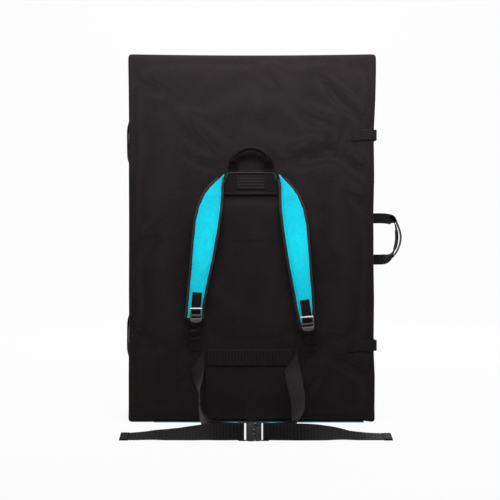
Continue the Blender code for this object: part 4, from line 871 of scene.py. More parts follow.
def round_section(wide, deep, count=12):
    """An oval section: its size along the width direction and its depth."""
    turns = [2 * math.pi * k / count for k in range(count)]
    return lambda share, gone, row: [(math.cos(turn) * wide / 2, math.sin(turn) * deep / 2) for turn in turns]


piece = sweep("yoke_piping_cord", smooth_run(piping_rows, 3 * mm), round_section(3.2 * mm, 3.2 * mm),
              grey_tape)
follow_face(piece)
sew_on(piece, "harness_half", "grey_binding", "yoke_piping")

# The grab handle is one length of webbing, flat where it comes out of the yoke and rolled round and
# oversewn at the grip, so that it stands up in a stiff arch.
leg_x = (-44.5 * mm, 40.5 * mm)
grab_middle = sum(leg_x) / 2
grab_reach = (leg_x[1] - leg_x[0]) / 2
stand_off = 15 * mm
arch_foot = 629 * mm
arch_rise = 31 * mm
# in mm: how high up each leg, how far off the face, and the share of the webbing's width there
leg_places = ((604.5, 4.4, 1.0), (609.6, 4.7, 1.0), (613, 6.2, 1.02), (618.5, 8.8, 0.98), (623.5, 11.6, 0.86))
rows = []
for z, lift, wide in leg_places:
    rows.append((leg_x[0], face_y - lift * mm, z * mm, 1, 0, 0, wide, 1.8))
for step in range(15):
    turn = math.pi * step / 14
    roll = min(1, math.sin(turn) / 0.4)
    x = grab_middle - grab_reach * math.cos(turn)
    z = arch_foot + arch_rise * math.sin(turn)
    across = (math.cos(turn), 0, -math.sin(turn))
    rows.append((x, face_y - stand_off, z, *across, 0.76 - 0.25 * roll, 3.0 + 4.6 * roll))
rows += [(leg_x[1], row[1], row[2], -1, 0, 0, row[6], row[7]) for row in reversed(rows[:5])]


def rolled_section(share, gone, row):
    """Flat webbing that rolls up into a round grip with a lapped seam."""
    wide = 23 * mm * row[6] / 2
    deep = web_thick * row[7] / 2
    points = []
    for k in range(20):
        turn = 2 * math.pi * k / 20
        lap = 0.5 * mm * (row[7] - 1) / 7 * math.exp(-((turn - 1.2) / 0.25) ** 2)
        square = 1 - 0.35 * max(0, 1 - abs(row[7] - 1) / 4)
        a = math.copysign(abs(math.cos(turn)) ** square, math.cos(turn))
        b = math.copysign(abs(math.sin(turn)) ** square, math.sin(turn))
        points.append((a * (wide + lap), b * (deep + lap)))
    return points


piece = sweep("grab_handle_webbing", smooth_run(rows, 2.5 * mm), rolled_section, dark_webbing)
follow_face(piece)
handle_bend = ("harness_half", "grab_handle", on_face(grab_middle, 611 * mm, 5 * mm),
               on_face(grab_middle, 629 * mm, 14 * mm))
sew_on(piece, handle_bend, "black_webbing", "grab_handle")
runs = []
for x in leg_x:
    runs += [[on_face(x - 6.5 * mm, z * mm, lift * mm), on_face(x + 6.5 * mm, z * mm, lift * mm)]
             for z, lift in ((613, 7.3), (616, 8.7), (625, 13.9), (628, 15.9))]
stitch("grab_handle_sewing", handle_bend, runs, (0, -1, 0.3))

# A shoulder strap is cut from closed-cell foam 9 mm thick, with black spacer mesh against the back and
# cyan nylon cloth outside. The raw edges are bound together all round with folded grey tape.
strap_tip_x = 68 * mm
strap_top = 597 * mm
strap_lengths = {"left": 343 * mm, "right": 371 * mm}
strap_sweeps = {"left": 71 * mm, "right": 66 * mm}
strap_width = 58 * mm
strap_foam_thick = 9 * mm
strap_cloth_thick = 1.3 * mm
strap_rest = 3 * mm
strap_bow = 13 * mm
binding_wide = 6.6 * mm
binding_deep = 8.0 * mm
binding_out = 2.9 * mm
binding_lift = 3.7 * mm
fit_gap = 0.3 * mm
strap_sides = (("left", -1), ("right", 1))
# how far down, how far out, and the half width there, as shares of the strap's length, sweep and width
strap_shares = (
    (0.0, 0.0, 0.035), (0.035, 0.17, 0.15), (0.08, 0.28, 0.235), (0.135, 0.37, 0.34),
    (0.23, 0.50, 0.46), (0.33, 0.61, 0.50), (0.46, 0.69, 0.465), (0.60, 0.75, 0.41),
    (0.72, 0.83, 0.355), (0.82, 0.90, 0.315), (0.91, 0.965, 0.285), (1.0, 1.0, 0.27),
)
# how far down, and what is trimmed there off the outer edge and added at the inner one, in mm
strap_trims = (
    (0.0, 2.0, 2.0), (0.03, 8.5, 2.0), (0.085, 5.0, 1.5), (0.14, 3.2, 1.5), (0.20, 4.0, 1.6),
    (0.27, 6.0, 2.2), (0.34, 7.2, 2.8), (0.42, 7.0, 3.0), (0.50, 5.6, 2.6), (0.58, 3.9, 2.0),
    (0.66, 3.2, 1.6), (0.76, 1.8, 1.4),
)
end_trims = {
    "left": ((0.85, 1.6, 1.8), (1.0, 1.0, 1.5)),
    "right": ((0.85, 1.9, 1.8), (0.93, 4.0, 0.5), (1.0, 6.0, -4.0)),
}


def strap_place(label, side, share, trimmed=True):
    """A shoulder strap's middle, half width and lift off the face, this far down it."""
    downs, outs, wides = zip(*strap_shares)
    x = strap_tip_x + strap_sweeps[label] * np.interp(share, downs, outs)
    wide = strap_width * np.interp(share, downs, wides)
    if trimmed:
        shares, outer, inner = zip(*strap_trims, *end_trims[label])
        outer, inner = (np.interp(share, shares, column) * mm for column in (outer, inner))
        x -= (outer + inner) / 2
        wide -= (outer - inner) / 2
    lift = strap_rest + strap_bow * math.sin(math.pi * share)
    return side * x, strap_top - strap_lengths[label] * share, wide, lift


def strap_foam_at(across, share):
    """The strap's foam: full in the middle, rounded down to thin edges and a thin sewn top."""
    taper = min(1, 0.3 + share / 0.2)
    return strap_foam_thick * taper * (0.4 + 0.6 * (1 - abs(across) ** 2.6))


def strap_layer(name, side, run, back, front, material, columns=16):
    """One layer of a strap, between two heights off the face that are given across and along it."""
    rings = []
    gone = 0
    for i, (x, _, z, wide, lift, share) in enumerate(run):
        if i:
            gone += math.dist((x, z), (run[i - 1][0], run[i - 1][2]))
        across = [math.sin(math.pi / 2 * (2 * k / columns - 1)) for k in range(columns + 1)]
        low = [(on_face(x + wide * k, z, lift + back(k * side, share)), (wide * k, gone)) for k in across]
        high = [(on_face(x + wide * k, z, lift + front(k * side, share)), (wide * k, gone)) for k in across]
        rings.append(low + high[::-1])
    return skin(name, rings, material)


def strap_outline(label, side):
    """Places along the strap's edge: down the outer one, across the end and up the inner one."""
    shares = [0.03] + [0.06 + 0.94 * i / 30 for i in range(31)]
    edge = []
    for way, order in ((side, shares), (-side, shares[::-1])):
        for share in order:
            x, z, wide, lift = strap_place(label, side, share)
            edge.append((x + way * wide, z, lift))
    return edge


# The spacer mesh has holes about 2 mm apart, and the strap cloth a thread every 0.5 mm, drawn at 1.4 mm.
strap_cloth = pack_cloth("cyan_nylon_pack_cloth", "#0CC3DD", "#1CE6FA", 1.4 * mm, 0.03, 0.64)
# Painted shade: the cloth's colour darkens from 420 mm up to 600 mm, towards the yoke, standing in for the
# shade at the straps' tops.
tree = strap_cloth.node_tree
shader = tree.nodes["Principled BSDF"]
height = add_node(tree, "ShaderNodeSeparateXYZ", {0: add_node(tree, "ShaderNodeTexCoord").outputs["Object"]})
painted_yoke_shade = add_node(tree, "ShaderNodeMapRange", {0: height.outputs["Z"], "From Min": 420 * mm,
                                             "From Max": 600 * mm, "To Min": 0, "To Max": 0.75})
woven = shader.inputs["Base Color"].links[0].from_socket
tone = add_node(tree, "ShaderNodeMix", {0: painted_yoke_shade.outputs[0], 6: woven, 7: linear_colour("#067C94")},
                data_type="RGBA")
tree.links.new(tone.outputs[2], shader.inputs["Base Color"])
dark_tape = webbing_weave("dark_grey_nylon_binding_tape", "#1E191A", "#3E3738", 1.6 * mm, 1.1 * mm, 0.12, 0.6)
spacer_mesh = foam_stuff("black_polyester_spacer_mesh", "#0E0C0D", "#2E2A2B", 2.4 * mm, 0.8 * mm)

for label, side in strap_sides:
    body = label + "_strap"
    rows = []
    for share in sorted({row[0] for row in strap_shares + strap_trims + end_trims[label]}):
        x, z, wide, lift = strap_place(label, side, share)
        rows.append((x, 0, z, wide, lift, share))
    run = smooth_run(rows, 4 * mm)
    foam_start = strap_cloth_thick + fit_gap

    def strap_relief(k, share):
        """Puckers at the bound edges, a few soft folds below the yoke and a raised inner edge."""
        edge = math.exp(-((1 - abs(k)) / 0.16) ** 2)
        puckers = 0.35 * mm * edge * noise.noise(Vector((share * 60, k, side * 3)))
        folds = 0.55 * mm * noise.noise(Vector((share * 13 + k * 0.8 * side, k * 0.7, side * 9)))
        ridge = 0.7 * mm * math.exp(-((k + 0.7) / 0.1) ** 2) * min(1, share * 6)
        return puckers + folds * (1 - edge) + ridge

    piece = strap_layer(body + "_back_mesh", side, run, lambda k, share: 0,
                        lambda k, share: strap_cloth_thick, spacer_mesh)
    sew_on(piece, body, "black_mesh", body + "_mesh")
    piece = strap_layer(body + "_padding", side, run, lambda k, share: foam_start,
                        lambda k, share: foam_start + strap_foam_at(k, share), firm_foam)
    sew_on(piece, body, "closed_cell_foam", body + "_foam")
    cloth_start = foam_start + 2 * fit_gap
    piece = strap_layer(
        body + "_outer_cloth", side, run,
        lambda k, share: cloth_start + strap_foam_at(k, share) - 0.5 * mm,
        lambda k, share: cloth_start + strap_foam_at(k, share) + strap_cloth_thick + strap_relief(k, share),
        strap_cloth, 28)
    sew_on(piece, body, "cyan_strap_cloth", body + "_cloth")
    edge = strap_outline(label, side)
    middle = np.array([(x, z) for x, z, _ in edge])
    tangent = np.gradient(middle, axis=0)
    tangent /= np.linalg.norm(tangent, axis=1)[:, None]
    outs = np.stack([-tangent[:, 1], tangent[:, 0]], 1) * side
    rows = []
    for (x, z, lift), out in zip(edge, outs):
        at = on_face(x + out[0] * binding_out, z + out[1] * binding_out, lift + binding_lift)
        rows.append((*at, 0, 1, 0))
    binding_run = smooth_run(rows, 3 * mm)
    piece = sweep(body + "_edge_tape", binding_run, round_section(binding_deep, binding_wide, 14), dark_tape)
    sew_on(piece, body, "grey_binding", body + "_binding")
    seam = binding_run[:, :3] - np.array((0, binding_deep / 2 - 0.1 * mm, 0))
    stitch(body + "_edge_sewing", body, [seam], (0, -1, 0))

# A ladder lock hangs on each strap's end in a loop of webbing that is sewn across the strap. A second
# webbing comes up from the pad behind the lock's grip bar, and hangs in loose folds between the two.
lock_thick = 3.4 * mm
lock_bar = 5 * mm
lock_height = 32.9 * mm
lock_wide = 29.6 * mm
lock_rail = 2.3 * mm
strap_web = 23 * mm
# how far the webbing stands off the lock's top bar where it turns round it
lock_turn_gaps = {"left": 1.9 * mm, "right": 3.8 * mm}
# how far to the right of the strap's middle the webbing is sewn and the lock hangs, how far down the
# strap both are, and how the lock leans
loop_shift = {"left": 2.4 * mm, "right": -1.0 * mm}
lock_shift = {"left": 4.4 * mm, "right": 0}
loop_shares = {"left": (0.8225, 0.937), "right": (0.808, 0.9206)}
lock_leans = {"left": 0, "right": math.radians(-6)}
# where the lower webbing meets the lumbar panel, and how it sags in mm and leans on its way down
tail_x = {"left": -136 * mm, "right": 148 * mm}
tail_sags = {"left": (-2.5, 3.5, -3.5, 4.0, -2.5, 1.0), "right": (-2.0, 1.5, -3.0, 1.0, -1.5, 0.5)}
tail_leans = {"left": (0.25, -0.3, 0.3, -0.25, 0.2, 0), "right": (0.1, 0.15, 0.2, 0.1, 0, 0)}


def moulding(name, deep, high, gloss, coat):
    """Moulded acetal: spark texture from the mould, and patches polished by handling."""
    material, tree, shader = new_material(name)
    place = add_node(tree, "ShaderNodeTexCoord").outputs["Object"]
    # the texture is about 0.5 mm wide and drawn at 0.9 mm so that it shows
    spark = add_node(tree, "ShaderNodeTexNoise", {"Vector": place, "Scale": 1 / (0.9 * mm), "Detail": 3})
    scuff = add_node(tree, "ShaderNodeTexNoise", {"Vector": place, "Scale": 1 / (9 * mm), "Detail": 6})
    tone = add_node(tree, "ShaderNodeMix", {0: scuff.outputs["Fac"], 6: linear_colour(deep),
                                            7: linear_colour(high)}, data_type="RGBA")
    matt = add_node(tree, "ShaderNodeMapRange", {0: scuff.outputs["Fac"], "To Min": gloss,
                                                 "To Max": gloss + 0.2})
    grain = add_node(tree, "ShaderNodeBump", {"Height": spark.outputs["Fac"], "Strength": 0.2,
                                              "Distance": 0.06 * mm})
    lead_in(tree, shader, tone, matt, grain)
    shader.inputs["IOR"].default_value = 1.48
    shader.inputs["Coat Weight"].default_value = coat
    shader.inputs["Coat Roughness"].default_value = 0.12
    return material


lock_finish = moulding("grey_acetal_moulding", "#2E2B2C", "#403D3E", 0.25, 0.9)


def open_block(name, low, high):
    """A block of this size, alone selected and open in edit mode."""
    bpy.ops.object.select_all(action="DESELECT")
    low, high = Vector(low), Vector(high)
    bpy.ops.mesh.primitive_cube_add(size=1, location=(low + high) / 2, scale=high - low)
    bpy.ops.object.transform_apply(location=True, rotation=True, scale=True)
    block = bpy.context.object
    block.name = name
    block.data.name = name
    bpy.ops.object.mode_set(mode="EDIT")
    bpy.ops.mesh.select_all(action="DESELECT")
    return block


def select_only(piece):
    """Makes a piece the active one and the only one selected."""
    bpy.ops.object.select_all(action="DESELECT")
    piece.select_set(True)
    bpy.context.view_layer.objects.active = piece


def copied(piece, name):
    """A second piece with a mesh of its own."""
    other = piece.copy()
    other.data = piece.data.copy()
    other.name = name
    scene.collection.objects.link(other)
    return other


def pick(block, test):
    """Selects, in edit mode, the faces whose middle and normal pass a test, and no others."""
    bpy.ops.mesh.select_mode(type="FACE")
    bpy.ops.mesh.select_all(action="DESELECT")
    shape = bmesh.from_edit_mesh(block.data)
    shape.normal_update()
    for face in shape.faces:
        face.select_set(test(face.calc_center_median(), face.normal))
    bmesh.update_edit_mesh(block.data)


def grow(move, scale=(1, 1, 1), middle=(0, 0, 0)):
    """Extrudes the selected faces and scales their new end about a middle."""
    bpy.ops.mesh.extrude_region_move(TRANSFORM_OT_translate={"value": move})
    if scale != (1, 1, 1):
        bpy.ops.transform.resize(value=scale, center_override=middle)


def close_block(block, bevel, material, segments=2):
    """Leaves edit mode, rounds the sharp edges and gives the piece its finish."""
    bpy.ops.mesh.select_all(action="SELECT")
    bpy.ops.mesh.normals_make_consistent(inside=False)
    bpy.ops.object.mode_set(mode="OBJECT")
    if bevel:
        rounding = block.modifiers.new("rounding", "BEVEL")
        rounding.width = bevel
        rounding.segments = segments
        rounding.limit_method = "ANGLE"
        rounding.angle_limit = math.radians(35)
        rounding.harden_normals = False
        bpy.ops.object.modifier_apply(modifier=rounding.name)
    bpy.ops.object.shade_smooth_by_angle(angle=math.radians(40))
    block.data.materials.clear()
    block.data.materials.append(material)
    return block


def put(piece, place, lean=0):
    """Leans a piece that was modelled about the origin to one side and moves it to its place."""
    select_only(piece)
    piece.location = place
    piece.rotation_euler = (0, lean, 0)
    bpy.ops.object.transform_apply(location=True, rotation=True, scale=False)


# The lock is modelled about its top bar's middle: the bar's top and bottom, then the heights of the
# slots' and the other bars' edges below it.
lock_top = 2.9 * mm
lock_low = -2.8 * mm
lock_levels = (-12.8 * mm, -17.5 * mm, -21.9 * mm, -24.6 * mm)
half = lock_wide / 2
inner = half - lock_rail
thick = lock_thick / 2
lock = open_block("left_strap_adjuster", (-inner, -thick, lock_low), (inner, thick, lock_top))
for way in (1, -1):
    pick(lock, lambda at, normal: normal.x * way > 0.9)
    grow((way * lock_rail, 0, 0))
level = lock_low
for i, lower in enumerate(lock_levels):
    pick(lock, lambda at, normal: normal.z < -0.9 and abs(at.x) > inner and at.z < level + 0.1 * mm)
    grow((0, 0, lower - level))
    if i in (1, 3):
        pick(lock, lambda at, normal: abs(normal.x) > 0.9 and abs(at.x) < half - 0.1 * mm and
             lower < at.z < level)
        bpy.ops.mesh.bridge_edge_loops()
    level = lower
for drop, scale in ((2.2, 0.95), (2.0, 0.88), (1.8, 0.8), (1.4, 0.72), (0.8, 0.6)):
    pick(lock, lambda at, normal: normal.z < -0.9 and at.z < level + 0.1 * mm)
    grow((0, 0, -drop * mm), (scale, 1, 1))
    level -= drop * mm
# the thumb pad stands out of the tab, and the bar's front leans back so that it shines
pick(lock, lambda at, normal: normal.y < -0.9 and at.z < lock_levels[2] - 0.5 * mm and abs(at.x) < inner - mm)
bpy.ops.mesh.inset(thickness=1.2 * mm, depth=0)
grow((0, -0.7 * mm, 0), (0.94, 1, 0.9), (0, -thick, level + 5 * mm))
shape = bmesh.from_edit_mesh(lock.data)
bpy.ops.mesh.select_mode(type="VERT")
for edge_z, shift in ((lock_top, 2.9 * mm), (lock_low, -0.6 * mm)):
    bpy.ops.mesh.select_all(action="DESELECT")
    for vert in shape.verts:
        vert.select_set(abs(vert.co.z - edge_z) < 0.1 * mm and vert.co.y < 0)
    bmesh.update_edit_mesh(lock.data)
    bpy.ops.transform.translate(value=(0, shift, 0))
bpy.ops.mesh.select_mode(type="FACE")
close_block(lock, 0.35 * mm, lock_finish)
adjusters = {"left": lock, "right": copied(lock, "right_strap_adjuster")}


def sewn_ribs(a, gone):
    """Fine ribs on the part of the loop that lies on the strap."""
    return 0.1 * mm * math.sin(gone / (0.8 * mm)) if gone < 30 * mm else 0


def tail_curl(a, gone):
    """The lower webbing cups a little, most where it hangs free below the lock."""
    cupped = max(0, 1 - abs(gone - 50 * mm) / (38 * mm))
    return 1.6 * mm * (a / (11 * mm)) ** 2 * math.sin(gone / (6 * mm)) * cupped


for label, side in strap_sides:
    body = label + "_strap"

    def strap_front(share):
        """The middle of the strap's front, this far down it."""
        x, z, _, lift = strap_place(label, side, share, False)
        return on_face(x, z, lift + 2 * strap_cloth_thick + 3 * fit_gap + strap_foam_at(0, share))

    sewn_share_down, bar_share = loop_shares[label]
    lock_turn_gap = lock_turn_gaps[label]
    in_front = fit_gap + web_thick + lock_turn_gap + lock_thick / 2
    bar = strap_front(bar_share) - Vector((-lock_shift[label], in_front, 0))
    away = lock_thick / 2 + lock_turn_gap + web_thick / 2
    down = lock_bar / 2 + lock_turn_gap + web_thick / 2
    top = strap_front(sewn_share_down) - Vector((-loop_shift[label], fit_gap + web_thick / 2, 0))
    behind_bar = bar + Vector((0, away, 0))
    path = [top, top.lerp(behind_bar, 0.35), (top + behind_bar) / 2]
    path += [bar + Vector((0, y, z)) for y, z in (
        (away, lock_bar / 2), (away, -lock_bar / 3), (away * 0.6, -down), (-away * 0.6, -down),
        (-away, -lock_bar / 3), (-away, 0))]
    rows = [(*at, 1, 0, 0) for at in path]
    piece = webbing(label + "_lock_loop", rows, strap_web, web_thick, black_webbing, "folded", 1.5 * mm,
                    relief=sewn_ribs)
    bend = (body, label + "_lock", bar + Vector((0, 0, 20 * mm)), bar + Vector((0, 0, 4 * mm)))
    sew_on(piece, bend, "black_webbing", label + "_lock_keeper")
    sewn_half = strap_web / 2 - 2.5 * mm
    slope = (behind_bar.y - top.y) / (42 * mm)
    runs = []
    for low, high in ((3, 14), (17, 24)):
        for run in box_run(-sewn_half, sewn_half, low * mm, high * mm, low == 3):
            runs.append([top + Vector((x, z * slope - web_thick * 0.85, -z)) for x, z in run])
    stitch(label + "_lock_loop_sewing", body, runs, (0, -1, 0))

    behind = bar.y + lock_thick / 2 + fit_gap + web_thick / 2
    low = bar.z - lock_height
    foot = on_face(tail_x[label], 186 * mm, 2.85 * mm)
    rows = [(bar.x, behind, bar.z - 5.7 * mm, 1, 0, 0), (bar.x, behind, bar.z - 14 * mm, 1, 0, 0),
            (bar.x, behind - 0.3 * mm, low + 6 * mm, 1, 0, 0)]
    start = Vector((bar.x, behind, low + 2 * mm))
    for i, (sag, lean) in enumerate(zip(tail_sags[label], tail_leans[label])):
        share = (i + 0.6) / 6.4
        at = start.lerp(foot, share)
        rows.append((at.x, at.y + sag * mm, at.z, math.cos(lean), math.sin(lean), lean * 0.2))
    rows += [(*foot, 1, 0, 0), (*on_face(tail_x[label], 174 * mm, 1.35 * mm), 1, 0, 0)]
    piece = webbing(label + "_strap_tail", rows, strap_web, web_thick, black_webbing, "gathered", 2 * mm,
                    curl=tail_curl)
    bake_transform(piece)
    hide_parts(label + "_lower_webbing")
    lock = adjusters[label]
    put(lock, bar, lock_leans[label])
    sew_on(lock, label + "_lock", "grey_plastic", label + "_ladder_lock")

# The lumbar panel is a padded patch of pack cloth with a ribbed band of 38 mm webbing sewn across its
# top, and a short tab of webbing comes out of a small patch at the middle of its foot.
belt_web = 38 * mm
belt_thick = 1.7 * mm
lumbar_left, lumbar_right = -113 * mm, 99 * mm
lumbar_bottom, lumbar_top = 11 * mm, 176 * mm
# The belt webbing is a heavy twill with ribs across it.
belt_rib = 7.5 * mm
belt_webbing = webbing_weave("black_nylon_belt_webbing", "#0C0A0B", "#211D1E", belt_rib, 1.6 * mm, 0.06, 0.6)
sewn_panel("lumbar_patch", lumbar_left, lumbar_right, lumbar_bottom, lumbar_top, 1.4 * mm, 2.2 * mm,
           cover_cloth, "black_cover_cloth", "lumbar_panel", columns=30)
rows = [(x * mm, face_y - 3.65 * mm, 157 * mm, 0, 0, 1) for x in (-107, -60, -5, 50, 97)]
piece = webbing("lumbar_ribbed_band", rows, belt_web, belt_thick, belt_webbing, "stretched", 1.2 * mm,
                relief=woven_ribs(0.22 * mm, belt_rib), columns=5)
follow_face(piece)
sew_on(piece, "harness_half", "black_webbing", "lumbar_band")
runs = [[(x, lumbar_bottom + 2 * mm), (x, lumbar_top - 2 * mm)]
        for x in (lumbar_left + 1 * mm, lumbar_right - 1 * mm)]
runs.append([(x, lumbar_bottom + 3 * mm) for x in (lumbar_left + 3 * mm, lumbar_right - 3 * mm)])
stitch("lumbar_patch_sewing", "harness_half", face_runs(runs, 2.6 * mm), (0, -1, 0))
sewn_left, sewn_right = lumbar_left + 8 * mm, lumbar_right - 4 * mm
sewn_bottom, sewn_top = 141 * mm, 173.5 * mm
sewn_end = 9 * mm
runs = [[(sewn_left, z), (sewn_right, z)] for z in (sewn_bottom, sewn_bottom + 3.5 * mm, sewn_top)]
runs += box_run(sewn_left, sewn_left + sewn_end, sewn_bottom, sewn_top)
runs += box_run(sewn_right - sewn_end, sewn_right, sewn_bottom, sewn_top)
stitch("lumbar_band_sewing", "harness_half", face_runs(runs, 4.8 * mm), (0, -1, 0))
square_left, square_right = -16 * mm, 13 * mm
square_bottom, square_top = 36 * mm, 68 * mm
tab_middle = (square_left + square_right) / 2
sewn_panel("bottom_tab_square", square_left, square_right, square_bottom, square_top, 3.8 * mm, 2.0 * mm,
           cover_cloth, "black_cover_cloth", "bottom_tab_patch", columns=6)
rows = [(*on_face(tab_middle, z * mm, 3.55 * mm), 1, 0, 0) for z in (35.6, 22, 11)]
rows.append((tab_middle, rows[-1][1], 1.2 * mm, 1, 0, 0))
piece = webbing("bottom_tab_strip", rows, web_wide, web_thick, black_webbing, "stretched", 2 * mm)
sew_on(piece, "harness_half", "black_webbing", "bottom_tab_webbing")
inset = 2.5 * mm
runs = box_run(square_left + inset, square_right - inset, square_bottom + inset, square_top - inset, True)
runs += [[(square_left + 4 * mm, z * mm), (square_right - 4 * mm, z * mm)] for z in (42, 46)]
stitch("bottom_tab_sewing", "harness_half", face_runs(runs, 4.9 * mm), (0, -1, 0))

# Each closure strap is 25 mm webbing, sewn to the face under a small patch and led round the edge. Its
# free end folds through a flat aluminium hook, which catches a keeper sewn on the far cushion.
hook_thick = 2.4 * mm
hook_length = 26 * mm
hook_bar = 4 * mm
hook_slot = 4.4 * mm
# how far the webbing stands out in a bow where it goes round the pad's edge
edge_slack = 5.5 * mm
hook_near_y = near_landing_y + 0.5 * mm - 4 * mm - hook_bar - hook_slot
cast_aluminium, tree, shader = new_material("black_anodised_aluminium")
place = add_node(tree, "ShaderNodeTexCoord").outputs["Object"]
rub = add_node(tree, "ShaderNodeTexNoise", {"Vector": place, "Scale": 1 / (5 * mm), "Detail": 6})
worn = add_node(tree, "ShaderNodeMapRange", {0: rub.outputs["Fac"], "From Min": 0.42, "From Max": 0.72})
tone = add_node(tree, "ShaderNodeMix", {0: worn.outputs[0], 6: linear_colour("#2E2E32"),
                                        7: linear_colour("#56565C")}, data_type="RGBA")
matt = add_node(tree, "ShaderNodeMapRange", {0: worn.outputs[0], "To Min": 0.42, "To Max": 0.28})
tree.links.new(tone.outputs[2], shader.inputs["Base Color"])
tree.links.new(matt.outputs[0], shader.inputs["Roughness"])
shader.inputs["Metallic"].default_value = 1

closure_patch_wide = 21 * mm
closure_patch_half = 14.5 * mm
closure_sewn_half = 10 * mm
for label, z, left in (("upper", 694 * mm, 240 * mm), ("lower", 185 * mm, 231 * mm)):
    right = left + closure_patch_wide
    low, high = z - closure_patch_half, z + closure_patch_half
    sewn_panel(label + "_closure_square", left, right, low, high, 1.2 * mm, 1.7 * mm,
               cover_cloth, "black_cover_cloth", label + "_closure_patch", columns=6)
    runs = box_run(left + 2 * mm, right - 2 * mm, low + 2 * mm, high - 2 * mm, True)
    stitch(label + "_closure_square_sewing", "harness_half", face_runs(runs, 2.3 * mm), (0, -1, 0))
    wall = wall_x(z)
    edge = wall - edge_radius
    turned = edge_radius + fit_gap + web_thick / 2
    rows = [(*on_face(right + fit_gap, z, 1.05 * mm), 0, 0, 1),
            (*on_face((right + edge) / 2, z, 1.3 * mm), 0, 0, 1)]
    for step in range(7):
        turn = math.pi / 2 * step / 6
        x = edge + turned * math.sin(turn) + edge_slack * math.sin(turn) ** 3
        y = face_y + edge_radius - turned * math.cos(turn) - crown(edge, z) * math.cos(turn)
        rows.append((x, y, z, 0, 0, 1))
    piece = webbing(label + "_closure_lead", rows, web_wide, web_thick, black_webbing, "stretched", 2 * mm)
    sew_on(piece, "harness_half", "black_webbing", label + "_closure_webbing")
    x = wall + fit_gap + web_thick / 2
    plate_x = wall + 2 * fit_gap + web_thick + hook_thick / 2
    outer_x = 2 * plate_x - x
    slot_y = hook_near_y + hook_bar + hook_slot / 2
    bend = hook_thick / 2 + fit_gap + web_thick / 2
    tongue_y = face_y + edge_radius + 2.3 * mm
    rows = [(x + edge_slack * loose, tongue_y + (slot_y - tongue_y) * share, z, 0, 0, 1)
            for share, loose in ((0, 1), (0.12, 0.95), (0.35, 0.5), (0.6, 0.12), (0.8, 0))]
    rows.append((x, slot_y - hook_slot / 2, z, 0, 0, 1))
    for turn in (-45, 0, 45):
        turn = math.radians(turn)
        y = slot_y - web_thick / 2 + math.cos(turn) * web_thick / 2
        rows.append((plate_x + bend * math.sin(turn), y, z, 0, 0, 1))
    rows += [(outer_x, y, z, 0, 0, 1)
             for y in (slot_y - hook_slot / 2, hook_near_y - hook_length / 2, hook_near_y - hook_length)]
    piece = webbing(label + "_closure_tongue", rows, web_wide, web_thick, black_webbing, "folded", 1.6 * mm)
    bend_off = ("harness_half", label + "_closure", (x, tongue_y, z), (x, tongue_y + 20 * mm, z))
    sew_on(piece, bend_off, "black_webbing", label + "_closure_strap")
    sewn_x = outer_x + web_thick * 0.85
    low, high = z - closure_sewn_half, z + closure_sewn_half
    ends = (hook_near_y - hook_length + 2.5 * mm, hook_near_y - 7 * mm)
    runs = [[(sewn_x, y, up) for y, up in run] for run in box_run(*ends, low, high, True)]
    stitch(label + "_closure_tongue_sewing", label + "_closure", runs, (1, 0, 0))
    rows = [(x, far_landing_y + (1 + 34 * share) * mm, z, 0, 0, 1) for share in (0, 0.5, 1)]
    piece = webbing(label + "_hook_catch", rows, web_wide, web_thick, black_webbing, "stretched", 2 * mm)
    sew_on(piece, "far_half", "black_webbing", label + "_closure_keeper")
    runs = [[(x + web_thick * 0.8, y, up) for y, up in run]
            for run in box_run(-22 * mm, -11 * mm, low, high, True)]
    stitch(label + "_hook_catch_sewing", "far_half", runs, (1, 0, 0))
    for slot in bpy.data.objects[label + "_closure_hook"].material_slots:
        slot.material = cast_aluminium

# The carrying handle is a loop of 25 mm webbing sewn into the wall's seam, which twists flat at the
# hand. A padded sleeve of pack cloth is wrapped round it there, and a loose second layer lies below.
handle_y = (near_landing_y + face_y) / 2
handle_z = 443 * mm
handle_span = 101 * mm
handle_reach = 60 * mm
# out from the wall and up, as shares of the handle's reach and span, and how far it is twisted there
handle_shares = (
    (0.0, 0.5, 0.0), (0.25, 0.505, 0.0), (0.52, 0.5, 0.0), (0.78, 0.475, 0.12), (0.90, 0.43, 0.45),
    (0.965, 0.34, 0.85), (1.0, 0.22, 1.0), (1.02, 0.08, 1.0), (1.01, -0.05, 1.0), (0.965, -0.18, 1.0),
    (0.89, -0.30, 1.0), (0.79, -0.39, 0.75), (0.64, -0.46, 0.4), (0.46, -0.495, 0.1), (0.24, -0.5, 0.0),
    (0.0, -0.5, 0.0),
)
root = wall_x(handle_z) + 0.9 * mm
rows = []
for out, up, twist in handle_shares:
    turn = math.pi / 2 * twist
    at = (root + handle_reach * out, handle_y, handle_z + handle_span * up)
    rows.append((*at, 0, math.sin(turn), math.cos(turn)))
piece = webbing("carry_handle_strap", rows, web_wide, web_thick, black_webbing, "hung", 2 * mm)
sew_on(piece, "carry_handle", "black_webbing", "carry_handle_webbing")
handle_run = smooth_run(rows, 2 * mm)
# the sleeve's half width and half depth, and the part of the handle that it covers
sleeve_wide = 14.2 * mm
sleeve_deep = 3.3 * mm
sleeve_start, sleeve_end = 0.40, 0.67


def sleeve_section(share, gone, row):
    """A padded sleeve: an oval that is drawn in at its ends, with a seam down one edge."""
    full = 0.72 + 0.28 * min(1, math.sin(math.pi * min(1, max(0, share * 1.04 - 0.02))) * 2.2)
    points = []
    for k in range(24):
        turn = 2 * math.pi * k / 24
        a, b = math.cos(turn), math.sin(turn)
        wrinkle = 0.3 * mm * noise.noise(Vector((gone / (5 * mm), turn * 2, 4)))
        wide = sleeve_wide * math.copysign(abs(a) ** 0.7, a)
        deep = (sleeve_deep * full + wrinkle) * math.copysign(abs(b) ** 0.8, b)
        points.append((wide, deep))
    return points


count = len(handle_run)
sleeve_run = handle_run[int(count * sleeve_start):int(count * sleeve_end)]
piece = sweep("carry_handle_sleeve", sleeve_run, sleeve_section, cover_cloth)
sew_on(piece, "carry_handle", "black_cover_cloth", "carry_handle_grip")
